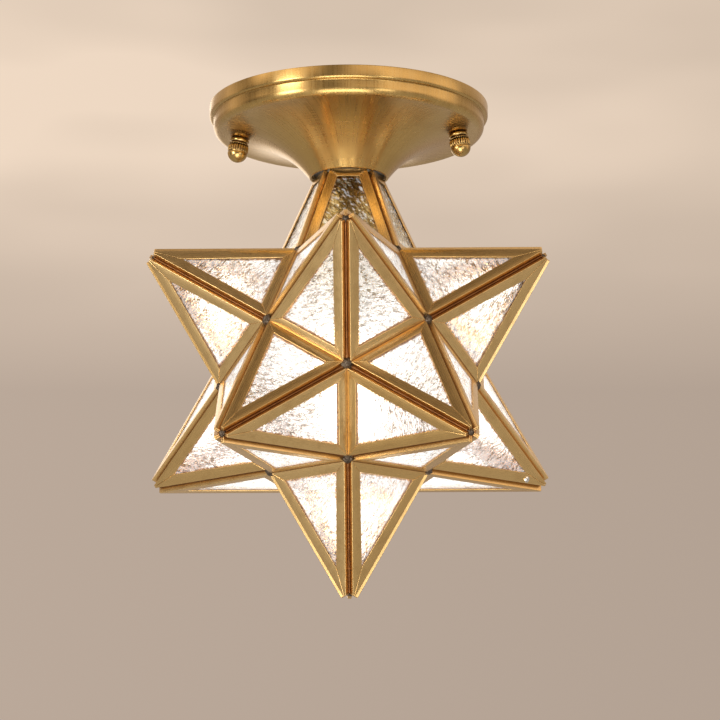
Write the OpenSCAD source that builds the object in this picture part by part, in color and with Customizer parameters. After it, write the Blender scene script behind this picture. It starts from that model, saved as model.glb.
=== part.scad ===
// Star semi-flush ceiling light: a spun brass canopy over a twelve-pointed star of glazed brass panels.
// The origin is the middle of the ceiling face, +Z is up, and the cap nuts lie along X.

/* [Star] */
// Length of a valley edge, where two spikes meet
star_edge = 49.1; // [46:0.1:54]
// Turn of the star about its stem, counted from the line of the cap nuts
star_turn = 4; // [-36:0.5:36]
// Height of the neck, from the base of its cut-off spike to the neck plate
neck_h = 45.6; // [40:0.2:52]
// Distance from the axis to each side of the neck at its top
neck_top_apothem = 15.6; // [14.5:0.1:17]

/* [Glazed panels] */
// Thickness of a glass pane
pane_t = 2; // [1.6:0.1:3]
// Width of the brass channel that frames a pane
flange_w = 4.7; // [3.8:0.1:5.5]
// Thickness of the channel's brass
channel_wall = 0.5; // [0.4:0.05:0.8]
// Clearance on each face of a pane in its channel
pane_face_gap = 0.05; // [0.02:0.01:0.15]
// Clearance between a pane's edge and the back of its channel
pane_edge_gap = 0.3; // [0.1:0.05:0.6]
// Width of a pane's snipped tip
pane_tip_w = 9.2; // [8:0.1:10.4]
// Width of the window's blunt tip
window_tip_w = 1.4; // [0.8:0.1:2]
// Width of a frame's blunt tip
frame_tip_w = 1.6; // [1:0.1:2.2]
// Gap between the inner edges of two frames along a ridge
seam_gap = 0.3; // [0.2:0.05:0.6]
// Clearance of a frame from the line of its valley
valley_gap = 0.08; // [0.02:0.01:0.2]

/* [Solder] */
// Height of the solder seam in a ridge groove
seam_h = 0.6; // [0.4:0.1:1.2]
// Height of the solder seam under a valley
valley_seam_h = 1.6; // [0.8:0.1:2]
// Clearance of solder from the brass beside it
solder_gap = 0.05; // [0.02:0.01:0.15]
// Clearance of a bead from the frames where valleys meet
valley_bead_gap = 0.1; // [0.05:0.05:0.4]
// Depth of a valley bead's middle below the valley point
valley_bead_sink = 0.9; // [0:0.1:1.5]
// Radius of the bead in a spike's tip
tip_bead_r = 1.2; // [0.8:0.1:1.6]

/* [Door] */
// Outer radius of the hinge's knuckles
knuckle_r = 1.3; // [1.1:0.05:1.8]
// Radius of the hinge pin
pin_r = 0.6; // [0.4:0.05:0.8]
// Radial clearance of the pin in its knuckles
pin_gap = 0.06; // [0.03:0.01:0.1]
// Length of the hinge along the valley
hinge_len = 19; // [14:0.5:24]
// Length of the door's own knuckle
door_knuckle_len = 8; // [5:0.5:10]
// Gap between knuckles, and between a knuckle and the frame it clears
hinge_gap = 0.3; // [0.2:0.05:0.5]
// Thickness of a hinge leaf
leaf_t = 0.5; // [0.3:0.05:0.8]
// Radius of the door screw's shank
screw_r = 0.95; // [0.8:0.05:1]
// Radius of the door screw's head
screw_head_r = 1.5; // [1.3:0.05:1.7]
// Height of the door screw's head
screw_head_h = 0.9; // [0.6:0.05:1.2]
// How far the screw goes into the catch block
screw_bite = 1.8; // [1:0.1:2.4]
// Clearance round the screw in the door and in the catch block
screw_clear = 0.35; // [0.3:0.05:0.5]
// Distance of the screw from the top of the door's pane
screw_from_pane = 2; // [1.9:0.1:2.8]
// Distance of the screw from the door's lower edge
screw_from_edge = 2.1; // [1.9:0.1:2.4]
// Height of the catch block
block_h = 6.5; // [5:0.1:8]

/* [Canopy] */
// Diameter of the canopy
canopy_d = 140; // [134:1:150]
// Thickness of the canopy's brass
canopy_wall = 0.9; // [0.6:0.1:1.2]
// Height of the straight rim band
rim_h = 6.6; // [5:0.2:9]
// Rounding under the rim band
rim_round = 1.5; // [1.3:0.1:3]
// Height of the second, rounded band
band_h = 7.6; // [6:0.2:10]
// Width of the ledge between the two bands
ledge_w = 2; // [1.5:0.1:3]
// Rounding under the second band
band_round = 3.8; // [3:0.1:5]
// Radius of the flare's curve
flare_r = 54.5; // [50:0.5:60]
// Gap between the neck's corners and the canopy's mouth
mouth_gap = 1.7; // [1.3:0.1:2.5]
// How far the neck plate is set up inside the mouth
neck_recess = 0.6; // [0.4:0.1:3]

/* [Mounting strap] */
// Distance of each cap nut from the edge of the canopy
knob_inset = 15; // [13:0.5:17]
// Width of the strap
strap_w = 16; // [13:0.5:20]
// Thickness of the strap
strap_t = 1.6; // [1.2:0.1:2.2]
// Distance between the middles of the two slots
slot_spacing = 78; // [70:1:79]
// Length of a slot from end to end
slot_len = 16; // [10:0.5:17]
// Width of a slot
slot_w = 4.5; // [3.6:0.1:5.5]
// Depth of the strap's cranked ends below the ceiling, at the studs
crank_drop = 2.4; // [2:0.1:4]
// Radius of a stud
stud_r = 2; // [1.5:0.1:2.2]
// Clearance round a stud in the strap, the lock nut and the cap nut
stud_gap = 0.06; // [0.03:0.01:0.1]
// Radius of the earth screw's head
ground_head_r = 3.4; // [2.6:0.1:4]
// Distance of the earth screw from the middle of the strap
ground_x = 20; // [16:0.5:24]

/* [Cap nuts] */
// Radius of the ball end
ball_r = 5.2; // [4.4:0.1:6]
// Radius of the beaded ring under the canopy
ring_r = 4.8; // [4:0.1:5.4]
// Height of the beaded ring
ring_h = 2; // [1.4:0.1:2.6]
// Radius of the groove under the ring
nut_neck_r = 3.7; // [3.3:0.1:4]
// Height of that groove
nut_neck_h = 0.8; // [0.4:0.1:1.4]
// Height of the knurled barrel
knurl_h = 4.2; // [3:0.1:6]
// Number of knurl grooves
knurl_count = 26; // [16:1:36]
// Depth of the hole in a cap nut
nut_hole_h = 7; // [5:0.5:8]

/* [Stem] */
// Outer radius of the stem
stem_r = 5; // [4:0.1:5.5]
// Bore radius of the stem
stem_bore_r = 3.9; // [2.5:0.1:4]
// Clearance round the stem in plates and nuts
stem_gap = 0.15; // [0.05:0.05:0.3]
// Length of stem above its lock nut
stem_top_len = 6; // [2:0.5:8]
// Thickness of the flare plate inside the canopy
flare_plate_t = 1.2; // [0.8:0.1:2]
// Thickness of the neck plate
neck_plate_t = 1.5; // [1:0.1:2.5]
// Outer radius of the stem's washer
washer_r = 10; // [8:0.5:12]
// Thickness of the stem's washer
washer_t = 1.2; // [0.8:0.1:2]
// Width of the stem's nuts across their flats
stem_nut_af = 14; // [13:0.5:17]
// Height of the stem's nuts
stem_nut_h = 3.5; // [2.5:0.1:5]
// Drop from the neck plate to the top of the lampholder
stem_drop = 19.3; // [12:0.1:26]

/* [Lampholder] */
// Outer radius of the lampholder
holder_r = 12.5; // [11.5:0.1:14]
// Height of the lampholder's cap
holder_cap_h = 12; // [10:0.5:15]
// Length of the lampholder's body
holder_body_h = 33; // [31:0.5:38]
// Bore radius of the metal screw shell
shell_bore_r = 7.15; // [7.1:0.05:7.4]
// Thickness of the screw shell
shell_t = 0.6; // [0.4:0.05:1]
// Length of the screw shell
shell_h = 22; // [20:0.5:24]

/* [Bulb] */
// Radius of the bulb's screw cap
bulb_cap_r = 6.95; // [6.7:0.05:7]
// Length of the bulb's screw cap
bulb_cap_h = 20; // [18:0.5:22]
// Largest radius of the bulb
bulb_r = 15; // [13:0.5:17]
// Height of the collar between the cap and the dome
collar_h = 20; // [16:0.5:26]
// Length of the bulb's dome
dome_h = 55; // [48:1:62]
// Thickness of the dome
dome_wall = 1; // [0.6:0.1:1.5]

/* [Hidden] */
$fn = 64;
cut = 1;
sides = 5;
step = 360 / sides;

// Angles of the star: neighbouring spikes, a panel's lean from its spike's axis, half of a ridge or valley
ring_tilt = atan(2);
panel_lean = 90 - ring_tilt;
fold_half = (180 - ring_tilt) / 2;

base_apothem = star_edge / (2 * tan(step / 2));
base_corner_r = star_edge / (2 * sin(step / 2));
star_inradius = base_apothem * tan(fold_half);
vertex_r = norm([base_corner_r, star_inradius]);
spike_h = base_apothem / tan(panel_lean);

// Channel and the inset of its outer edge from the line of a ridge
pane_slot = pane_t + 2 * pane_face_gap;
channel_t = pane_slot + 2 * channel_wall;
function ridge_inset(half) = channel_t / tan(half) + seam_gap / (2 * sin(half));

// A panel's outline: [half of its base line, narrowing of each side per height, inset of its sides, top]
function side_x(p, inset, y) = p[0] - (p[2] + inset) * norm([1, p[1]]) - p[1] * y;
function side_y(p, inset, x) = (p[0] - (p[2] + inset) * norm([1, p[1]]) - x) / p[1];
function outline(p, inset, low, high) = [
    [-side_x(p, inset, low), low],
    [side_x(p, inset, low), low],
    [side_x(p, inset, high), high],
    [-side_x(p, inset, high), high]
];

// The triangular panel, and the heights of its window, slot and pane at the tip
tri_sides = [star_edge / 2, tan(step / 4), ridge_inset(fold_half)];
tri_top = side_y(tri_sides, 0, frame_tip_w / 2);
pane_inset = channel_wall + pane_edge_gap;
tri_window_top = side_y(tri_sides, flange_w, window_tip_w / 2);
tri_pane_top = side_y(tri_sides, pane_inset, pane_tip_w / 2);
tri_panel = concat(tri_sides, [tri_top, tri_window_top, tri_pane_top + pane_edge_gap, tri_pane_top]);

// The neck's trapezoid panel
neck_lean = atan((base_apothem - neck_top_apothem) / neck_h);
neck_fold_half = (180 - acos(pow(cos(neck_lean), 2) * cos(step) + pow(sin(neck_lean), 2))) / 2;
neck_slant = neck_h / cos(neck_lean);
neck_narrowing = (star_edge / 2 - neck_top_apothem * tan(step / 2)) / neck_slant;
neck_top = neck_slant - solder_gap;
neck_sides = [star_edge / 2, neck_narrowing, ridge_inset(neck_fold_half)];
neck_heights = [neck_top, neck_top - flange_w, neck_top - channel_wall, neck_top - pane_inset];
neck_panel = concat(neck_sides, neck_heights);
neck_corner_r = norm([neck_top_apothem, side_x(neck_panel, 0, neck_slant)]);

// Place of each spike: [tilt, turn, direction of its first panel]. Spike 0 is the neck, 1 to 5 are the
// upper ring, 6 to 10 the lower ring, and 11 points down.
function spike_place(i) =
    i == 0 ? [0, star_turn - 90, 0] :
    i <= sides ? [ring_tilt, star_turn - 90 + step * (i - 1), 180] :
    i <= 2 * sides ? [180 - ring_tilt, star_turn - 90 + step / 2 + step * (i - 1 - sides), 0] :
    [180, star_turn + 90 + step / 2, 0];
neck_spike = 0;
bottom_spike = 2 * sides + 1;

// The door is one panel of a lower spike, and its hinge is shared with the panel across the valley
door_spike = sides + 2;
door_side = sides - 1;
post_spike = sides + 1;
post_side = sides - door_side;
hinge_lift = knuckle_r + hinge_gap;
hinge_y = hinge_lift / tan(fold_half);
leaf_setback = 0.4;
leaf_end = valley_gap + flange_w - leaf_setback;
screw_y = tri_pane_top + screw_from_pane;
screw_x = side_x(tri_panel, screw_from_edge, screw_y);
screw_len = channel_t + screw_bite;
screw_tip_gap = 0.6;
door_hole_gap = 0.1;
block_gap = 3 * solder_gap;
block_mid = screw_y * cos(panel_lean) - channel_t * sin(panel_lean);
block_inset = channel_t / cos(panel_lean) + block_gap;
function block_r(h) = (base_apothem - h * tan(panel_lean) - block_inset) / cos(step / 2);

// Beads and seams of solder
valley_bead_r = ridge_inset(fold_half) - valley_bead_sink * base_apothem / vertex_r - valley_bead_gap;
tip_bead_drop = 0.95;
tip_h = tri_top * cos(panel_lean);
seam_start = 2;
valley_seam_rise = 0.15;
valley_seam_end = 2.4;
seam_end_gap = 1.5;
face_gap = 0.02;

// Canopy profile, from the rim inwards
canopy_r = canopy_d / 2;
knob_x = canopy_r - knob_inset;
dish_z = rim_h + band_h;
band_r = canopy_r - ledge_w;
dish_r = band_r - band_round;
flare_z = -dish_z - flare_r;
mouth_r = neck_corner_r + mouth_gap;
mouth_z = flare_z + sqrt(pow(flare_r, 2) - pow(dish_r - mouth_r, 2));
function flare_bore(z) = dish_r - sqrt(pow(flare_r + canopy_wall, 2) - pow(z - flare_z, 2));

// Heights of the neck, the star and what the stem holds
neck_top_z = mouth_z + neck_recess;
star_z = neck_top_z - neck_h - star_inradius;
flare_plate_z = neck_top_z + neck_plate_t;
flare_plate_gap = 0.1;
washer_z = flare_plate_z + flare_plate_t;
lock_nut_z = washer_z + washer_t;
stem_top_z = lock_nut_z + stem_nut_h + stem_top_len;
holder_z = neck_top_z - stem_drop;
stem_thread_len = 8;
body_z = holder_z - holder_cap_h;
mouth_end_z = body_z - holder_body_h;

// Studs and cap nuts stand square to the dish
stud_tilt = asin((dish_r - knob_x) / flare_r);
seat_z = flare_z + flare_r * cos(stud_tilt);
stud_rise = (-crank_drop - seat_z) / cos(stud_tilt);
stud_x = knob_x - stud_rise * sin(stud_tilt);
slot_margin = 2;
flat_end = slot_spacing / 2 + slot_len / 2 + slot_margin;
crank_run = 1.2;
crank_lap = 0.3;
crank_sink = 0.05;
ground_gap = 0.1;
plate_in = (stud_x - flat_end - crank_run) / cos(stud_tilt);
nut_seat_gap = 0.35;
canopy_hole_gap = 0.5;
nut_hole_r = stud_r + stud_gap;
lock_nut_af = 3.5 * stud_r;
lock_nut_h = 1.6 * stud_r;

// Cap nut heights below its seat
barrel_s = ring_h + nut_neck_h;
ball_s = barrel_s + knurl_h;

// Lampholder and bulb
holder_wall = 1.8;
shell_r = shell_bore_r + shell_t;
bulb_top_gap = 0.6;
shell_z = mouth_end_z + 1;
holder_floor_z = shell_z + shell_h + 1.5;
bulb_z = mouth_end_z - bulb_top_gap;
bulb_cap_z = bulb_z + bulb_cap_h;
insulator_h = 1.6;
bulb_contact_h = 1.2;
bulb_contact_z = bulb_cap_z + insulator_h + bulb_contact_h;
contact_gap = 0.1;
collar_z = bulb_z - collar_h;
board_t = 1.2;
dome_foot = 0.86;

brass = [0.78, 0.62, 0.36];
bright_brass = [0.86, 0.68, 0.36];
steel = [0.72, 0.73, 0.74];
clear_glass = [0.88, 0.93, 0.9, 0.35];
solder = [0.3, 0.24, 0.2];
cream = [0.93, 0.9, 0.84];

// Frame of spike i, with its origin in the middle of its base and +Z along its axis
module spike(i) {
    place = spike_place(i);
    translate([0, 0, star_z]) rotate([0, place[0], place[1]]) translate([0, 0, star_inradius])
        rotate([0, 0, place[2]]) children();
}

// Frame of panel k: X along its base line, Y up the panel, Z out of its outer face
module panel(k, lean) {
    rotate([0, 0, step * k]) translate([base_apothem, 0, 0]) rotate([0, -lean, 0])
        rotate([90, 0, 90]) children();
}

// Frame of a ridge: +Z along it from the valley point, +X out of the star
module ridge(k, foot_lean) {
    rotate([0, 0, step * (k + 0.5)]) translate([base_corner_r, 0, 0]) rotate([0, -foot_lean, 0]) children();
}

module slab(p, inset, low, high, top, thick) {
    translate([0, 0, top - thick]) linear_extrude(thick) polygon(outline(p, inset, low, high));
}

module channel_frame(p) {
    difference() {
        slab(p, 0, valley_gap, p[3], 0, channel_t);
        slab(p, flange_w, valley_gap + flange_w, p[4], cut, channel_t + 2 * cut);
        slab(p, channel_wall, valley_gap + channel_wall, p[5], -channel_wall, pane_slot);
    }
}

module pane(p) {
    slab(p, pane_inset, valley_gap + pane_inset, p[6], -channel_wall - pane_face_gap, pane_t);
}

function is_door(i, k) = i == door_spike && k == door_side;

module spike_frames(i) {
    color(brass) spike(i) for (k = [0 : sides - 1])
        if (!is_door(i, k)) panel(k, panel_lean) channel_frame(tri_panel);
}

module spike_glass(i) {
    color(clear_glass) spike(i) for (k = [0 : sides - 1])
        if (!is_door(i, k)) panel(k, panel_lean) pane(tri_panel);
}

module neck_frames() {
    color(brass) spike(neck_spike) for (k = [0 : sides - 1]) panel(k, neck_lean) channel_frame(neck_panel);
}

module neck_glass() {
    color(clear_glass) spike(neck_spike) for (k = [0 : sides - 1]) panel(k, neck_lean) pane(neck_panel);
}

module door_panel() {
    spike(door_spike) panel(door_side, panel_lean) children();
}

module screw_hole(r, low) {
    translate([screw_x, screw_y, low]) cylinder(r = r, h = cut - low);
}

module door_frame() {
    color(brass) door_panel() difference() {
        channel_frame(tri_panel);
        screw_hole(screw_r + door_hole_gap, -channel_t - cut);
    }
}

module door_glass() {
    color(clear_glass) door_panel() pane(tri_panel);
}

// Frame on the hinge's axis, with +Z along it
module along_hinge(x) {
    translate([x, hinge_y, hinge_lift]) rotate([0, 90, 0]) children();
}

// A barrel with its leaf on the flange beside it, in a panel's frame
module knuckle(x_low, x_high) {
    len = x_high - x_low;
    difference() {
        union() {
            along_hinge(x_low) cylinder(r = knuckle_r, h = len);
            translate([x_low, hinge_y, solder_gap]) cube([len, knuckle_r, hinge_lift - solder_gap]);
            translate([x_low, hinge_y, solder_gap]) cube([len, leaf_end - hinge_y, leaf_t]);
        }
        along_hinge(x_low - cut) cylinder(r = pin_r + pin_gap, h = len + 2 * cut);
    }
}

module door_knuckle() {
    color(bright_brass) door_panel() knuckle(-door_knuckle_len / 2, door_knuckle_len / 2);
}

module fixed_knuckles() {
    inner = door_knuckle_len / 2 + hinge_gap;
    color(bright_brass) spike(post_spike) panel(post_side, panel_lean) {
        knuckle(-hinge_len / 2, -inner);
        knuckle(inner, hinge_len / 2);
    }
}

module hinge_pin() {
    color(steel) door_panel() along_hinge(-hinge_len / 2) cylinder(r = pin_r, h = hinge_len);
}

module door_screw() {
    driver_slot_w = 0.4;
    color(steel) door_panel() translate([screw_x, screw_y, 0]) difference() {
        union() {
            translate([0, 0, -screw_len]) cylinder(r = screw_r, h = screw_len + 2 * solder_gap);
            translate([0, 0, solder_gap]) cylinder(r = screw_head_r, h = screw_head_h / 2);
            translate([0, 0, solder_gap + screw_head_h / 2])
                cylinder(r1 = screw_head_r, r2 = 0.6 * screw_head_r, h = screw_head_h / 2);
        }
        translate([-screw_head_r, -driver_slot_w / 2, screw_head_h / 2])
            cube([2 * screw_head_r, driver_slot_w, screw_head_h]);
    }
}

module door_catch_block() {
    low = block_mid - block_h / 2;
    high = block_mid + block_h / 2;
    color(brass) difference() {
        spike(door_spike) translate([0, 0, low]) rotate([0, 0, step / 2])
            cylinder(r1 = block_r(low), r2 = block_r(high), h = block_h, $fn = sides);
        door_panel() screw_hole(screw_r + screw_clear, -screw_len - screw_tip_gap);
    }
}

// Solder in the groove between two frames
module ridge_seam(half, len) {
    inset = ridge_inset(half);
    inner_x = -inset * cos(half) - channel_t * sin(half);
    low_y = seam_gap / 2 - solder_gap / sin(half);
    high_y = low_y + seam_h / tan(half);
    translate([0, 0, seam_start]) linear_extrude(len)
        polygon([
            [inner_x, -low_y],
            [inner_x + seam_h, -high_y],
            [inner_x + seam_h, high_y],
            [inner_x, low_y]
        ]);
}

module solder_ridges() {
    foot_lean = atan(base_corner_r / spike_h);
    neck_foot_lean = atan((base_corner_r - neck_top_apothem / cos(step / 2)) / neck_h);
    ends = seam_start + seam_end_gap;
    seam_len = norm([star_edge / 2 - frame_tip_w / 2, tri_top]) - ends - ridge_inset(fold_half);
    neck_seam_len = neck_h / cos(neck_foot_lean) - ends - channel_t * tan(neck_foot_lean);
    color(solder) {
        spike(neck_spike) for (k = [0 : sides - 1])
            ridge(k, neck_foot_lean) ridge_seam(neck_fold_half, neck_seam_len);
        for (i = [1 : bottom_spike]) spike(i) for (k = [0 : sides - 1])
            if (!is_door(i, k) && !is_door(i, k + 1)) ridge(k, foot_lean) ridge_seam(fold_half, seam_len);
    }
}

module valley_bead(corner) {
    sink = valley_bead_sink / vertex_r;
    rotate([0, 0, corner]) translate([base_corner_r * (1 - sink), 0, -star_inradius * sink])
        sphere(valley_bead_r);
}

// Solder in the wedge between two frames, in the frame of the panel beside the valley
module valley_seam() {
    wedge = 90 - fold_half;
    function half_w(depth) = depth * tan(wedge) + (valley_gap - solder_gap) / cos(wedge);
    low = valley_seam_rise + valley_seam_h;
    len = star_edge - 2 * valley_seam_end;
    translate([-len / 2, 0, 0]) rotate([90, 0, 90]) linear_extrude(len) rotate(180 + fold_half)
        polygon([
            [valley_seam_rise, -half_w(valley_seam_rise)],
            [low, -half_w(low)],
            [low, half_w(low)],
            [valley_seam_rise, half_w(valley_seam_rise)]
        ]);
}

// Every valley once, but for the one with the hinge in it
module valley_seams() {
    for (i = [1 : sides]) for (k = [0 : 3]) spike(i) panel(k, panel_lean) valley_seam();
    for (i = [sides + 1 : 2 * sides]) for (k = [0 : post_side])
        if (i != post_spike || k != post_side) spike(i) panel(k, panel_lean) valley_seam();
}

module solder_valleys() {
    color(solder) {
        valley_seams();
        for (k = [0 : sides - 1]) {
            spike(neck_spike) valley_bead(step * (k + 0.5));
            spike(bottom_spike) valley_bead(step * (k + 0.5));
        }
        for (i = [1 : 2 * sides]) spike(i) valley_bead(180);
    }
}

module solder_tips() {
    color(solder) for (i = [1 : bottom_spike]) spike(i) translate([0, 0, tip_h - tip_bead_drop])
        sphere(tip_bead_r);
}

// Region of the profile from the axis out to width, with its lower corner rounded
module rounded_step(width, low, top, round) {
    translate([0, low]) square([width - round, top - low]);
    translate([0, low + round]) square([width, top - low - round]);
    translate([width - round, low + round]) circle(round);
}

module canopy_region(inset, top, bottom) {
    rounded_step(canopy_r - inset, inset - rim_h, top, rim_round - inset);
    rounded_step(band_r - inset, inset - dish_z, top, band_round - inset);
    difference() {
        translate([0, bottom]) square([dish_r, top - bottom]);
        translate([dish_r, flare_z]) circle(flare_r + inset, $fn = 180);
    }
}

// Frame on the dish under a cap nut: -Z along the stud, out of the canopy
module on_stud(side) {
    mirror([side < 0 ? 1 : 0, 0, 0]) translate([knob_x, 0, seat_z]) rotate([0, -stud_tilt, 0]) children();
}

module canopy() {
    color(brass) difference() {
        rotate_extrude($fn = 160) difference() {
            canopy_region(0, 0, mouth_z);
            canopy_region(canopy_wall, cut, mouth_z - cut);
        }
        for (side = [-1, 1]) on_stud(side) translate([0, 0, -2 * cut])
            cylinder(r = stud_r + canopy_hole_gap, h = canopy_wall + 4 * cut);
    }
}

module disc(r, z, thick) {
    translate([0, 0, z]) difference() {
        cylinder(r = r, h = thick);
        translate([0, 0, -cut]) cylinder(r = stem_r + stem_gap, h = thick + 2 * cut);
    }
}

module flare_plate() {
    color(steel) disc(flare_bore(flare_plate_z) - flare_plate_gap, flare_plate_z, flare_plate_t);
}

module stem_washer() {
    color(steel) disc(washer_r, washer_z, washer_t);
}

module neck_plate() {
    color(steel) intersection() {
        disc(neck_corner_r, neck_top_z, neck_plate_t);
        spike(neck_spike) rotate([0, 0, step / 2]) translate([0, 0, neck_h - cut])
            cylinder(r = neck_top_apothem / cos(step / 2), h = neck_plate_t + 2 * cut, $fn = sides);
    }
}

module stem_nut(z) {
    translate([0, 0, z]) difference() {
        cylinder(r = stem_nut_af / 2 / cos(30), h = stem_nut_h, $fn = 6);
        translate([0, 0, -cut]) cylinder(r = stem_r + stem_gap, h = stem_nut_h + 2 * cut);
    }
}

module stem_lock_nut() {
    color(steel) stem_nut(lock_nut_z);
}

module stem_bottom_nut() {
    color(steel) stem_nut(neck_top_z - stem_nut_h);
}

module stem() {
    low = holder_z - stem_thread_len;
    color(bright_brass) translate([0, 0, low]) difference() {
        cylinder(r = stem_r, h = stem_top_z - low);
        translate([0, 0, -cut]) cylinder(r = stem_bore_r, h = stem_top_z - low + 2 * cut);
    }
}

module mounting_strap() {
    color(steel) difference() {
        union() {
            translate([-flat_end, -strap_w / 2, -strap_t]) cube([2 * flat_end, strap_w, strap_t]);
            for (side = [-1, 1]) {
                on_stud(side) translate([0, 0, stud_rise - strap_t]) linear_extrude(strap_t) intersection() {
                    circle(strap_w / 2);
                    translate([-plate_in, -strap_w / 2]) square([plate_in + strap_w, strap_w]);
                }
                mirror([side < 0 ? 1 : 0, 0, 0]) crank();
            }
        }
        for (side = [-1, 1]) {
            on_stud(side) cylinder(r = nut_hole_r, h = stud_rise + 2 * cut);
            translate([side * slot_spacing / 2, 0, -strap_t - cut]) slot();
            translate([side * ground_x, 0, -strap_t - cut])
                cylinder(r = stud_r + ground_gap, h = strap_t + 2 * cut);
        }
    }
}

// The short sloping stretch between the strap's flat and its end, which it laps into
module crank() {
    end_x = stud_x - plate_in * cos(stud_tilt);
    end_z = -crank_drop - plate_in * sin(stud_tilt);
    fold_z = strap_t * cos(stud_tilt);
    function in_end(depth) = [
        end_x + crank_lap * cos(stud_tilt) + depth * sin(stud_tilt),
        end_z + crank_lap * sin(stud_tilt) - depth * cos(stud_tilt)
    ];
    rotate([90, 0, 0]) translate([0, 0, -strap_w / 2]) linear_extrude(strap_w)
        polygon([
            [flat_end, 0],
            in_end(crank_sink),
            in_end(strap_t - crank_sink),
            [end_x - strap_t / 2, end_z - fold_z],
            [flat_end - strap_t / 2, -strap_t],
            [flat_end - strap_t / 2, 0]
        ]);
}

module slot() {
    reach = (slot_len - slot_w) / 2;
    for (x = [-reach, reach]) translate([x, 0, 0]) cylinder(r = slot_w / 2, h = strap_t + 2 * cut);
    translate([-reach, -slot_w / 2, 0]) cube([2 * reach, slot_w, strap_t + 2 * cut]);
}

module stud(side) {
    low = nut_seat_gap + nut_hole_h - 1;
    color(steel) on_stud(side) translate([0, 0, -low]) cylinder(r = stud_r, h = low + stud_rise + 1);
}

module stud_lock_nuts() {
    color(steel) for (side = [-1, 1]) on_stud(side)
        translate([0, 0, stud_rise - strap_t - face_gap - lock_nut_h]) difference() {
            cylinder(r = lock_nut_af / 2 / cos(30), h = lock_nut_h, $fn = 6);
            translate([0, 0, -cut]) cylinder(r = nut_hole_r, h = lock_nut_h + 2 * cut);
        }
}

module cap_nut(side) {
    groove_r = 0.5;
    color(bright_brass) on_stud(side) translate([0, 0, -nut_seat_gap]) difference() {
        union() {
            translate([0, 0, -ring_h]) cylinder(r = ring_r - ring_h / 2, h = ring_h);
            translate([0, 0, -ring_h / 2]) rotate_extrude()
                translate([ring_r - ring_h / 2, 0]) circle(ring_h / 2);
            translate([0, 0, -barrel_s - 0.5]) cylinder(r = nut_neck_r, h = barrel_s + 0.5);
            translate([0, 0, -ball_s]) cylinder(r1 = ball_r, r2 = 0.88 * ball_r, h = knurl_h);
            translate([0, 0, -ball_s]) sphere(ball_r);
        }
        for (k = [0 : knurl_count - 1]) rotate([0, 0, 360 * k / knurl_count]) {
            translate([0.93 * ball_r + groove_r, 0, -ball_s])
                cylinder(r = groove_r, h = knurl_h + nut_neck_h / 2);
            translate([ring_r + 0.7 * groove_r, 0, -ring_h - nut_neck_h / 2])
                cylinder(r = groove_r, h = ring_h + nut_neck_h);
        }
        translate([0, 0, -nut_hole_h]) cylinder(r = nut_hole_r, h = nut_hole_h + cut);
    }
}

module ground_screw() {
    color(bright_brass) translate([-ground_x, 0, -strap_t]) difference() {
        union() {
            translate([0, 0, -2]) cylinder(r = ground_head_r, h = 2);
            cylinder(r = stud_r, h = strap_t - ground_gap);
        }
        translate([-ground_head_r - cut, -0.5, -2 - cut]) cube([2 * (ground_head_r + cut), 1, 1 + cut]);
    }
}

module lampholder_cap() {
    hub_r = stem_r + 3;
    hub_h = 3;
    round = 5;
    color(cream) translate([0, 0, body_z]) rotate_extrude() difference() {
        union() {
            square([hub_r, holder_cap_h]);
            square([holder_r, holder_cap_h - hub_h - round]);
            square([holder_r - round, holder_cap_h - hub_h]);
            translate([holder_r - round, holder_cap_h - hub_h - round]) circle(round);
        }
        translate([0, -2 * round]) square([2 * holder_r, 2 * round]);
        square([stem_r + stem_gap, holder_cap_h + cut]);
        square([holder_r - holder_wall - round / 2, holder_cap_h - stem_thread_len + 0.5]);
    }
}

module lampholder_body() {
    rib_r = 0.5;
    color(cream) translate([0, 0, mouth_end_z]) rotate_extrude() difference() {
        square([holder_r, holder_body_h - face_gap]);
        translate([0, -cut]) square([shell_r + 0.1, holder_floor_z - mouth_end_z + cut]);
        translate([0, holder_floor_z - mouth_end_z + 2]) square([holder_r - holder_wall, holder_body_h]);
        for (z = [3 : 3 : 9]) translate([holder_r + rib_r / 2, z]) circle(rib_r);
        translate([0, -cut]) square([stud_r, holder_body_h]);
    }
}

module lampholder_shell() {
    color(bright_brass) translate([0, 0, shell_z]) difference() {
        cylinder(r = shell_r, h = shell_h);
        translate([0, 0, -cut]) cylinder(r = shell_bore_r, h = shell_h + 2 * cut);
    }
}

module lampholder_contact() {
    low = bulb_contact_z + contact_gap;
    color(bright_brass) {
        translate([0, 0, low]) cylinder(r = stud_r + 1.5, h = 0.5);
        translate([0, 0, low]) cylinder(r = stud_r - 0.1, h = holder_floor_z + 3 - low);
    }
}

module bulb_cap() {
    color(steel) translate([0, 0, bulb_z]) cylinder(r = bulb_cap_r, h = bulb_cap_h);
}

module bulb_insulator() {
    color([0.12, 0.12, 0.13]) translate([0, 0, bulb_cap_z + face_gap])
        cylinder(r1 = bulb_cap_r - 0.8, r2 = 0.45 * bulb_cap_r, h = insulator_h - 2 * face_gap);
}

module bulb_contact() {
    color(steel) translate([0, 0, bulb_cap_z + insulator_h])
        cylinder(r1 = 0.36 * bulb_cap_r, r2 = 0.25 * bulb_cap_r, h = bulb_contact_h);
}

module bulb_collar() {
    foot_r = dome_foot * bulb_r;
    foot_h = 3;
    waist_h = 9;
    waist_in = 1.2;
    cap_wall = 1;
    cap_h = 1.5;
    top_r = bulb_cap_r + cap_wall;
    color([0.95, 0.95, 0.94]) translate([0, 0, collar_z]) rotate_extrude()
        polygon([
            [0, 0],
            [foot_r, 0],
            [foot_r, foot_h],
            [foot_r - waist_in, waist_h],
            [top_r, collar_h - cap_h],
            [top_r, collar_h],
            [0, collar_h]
        ]);
}

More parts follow.
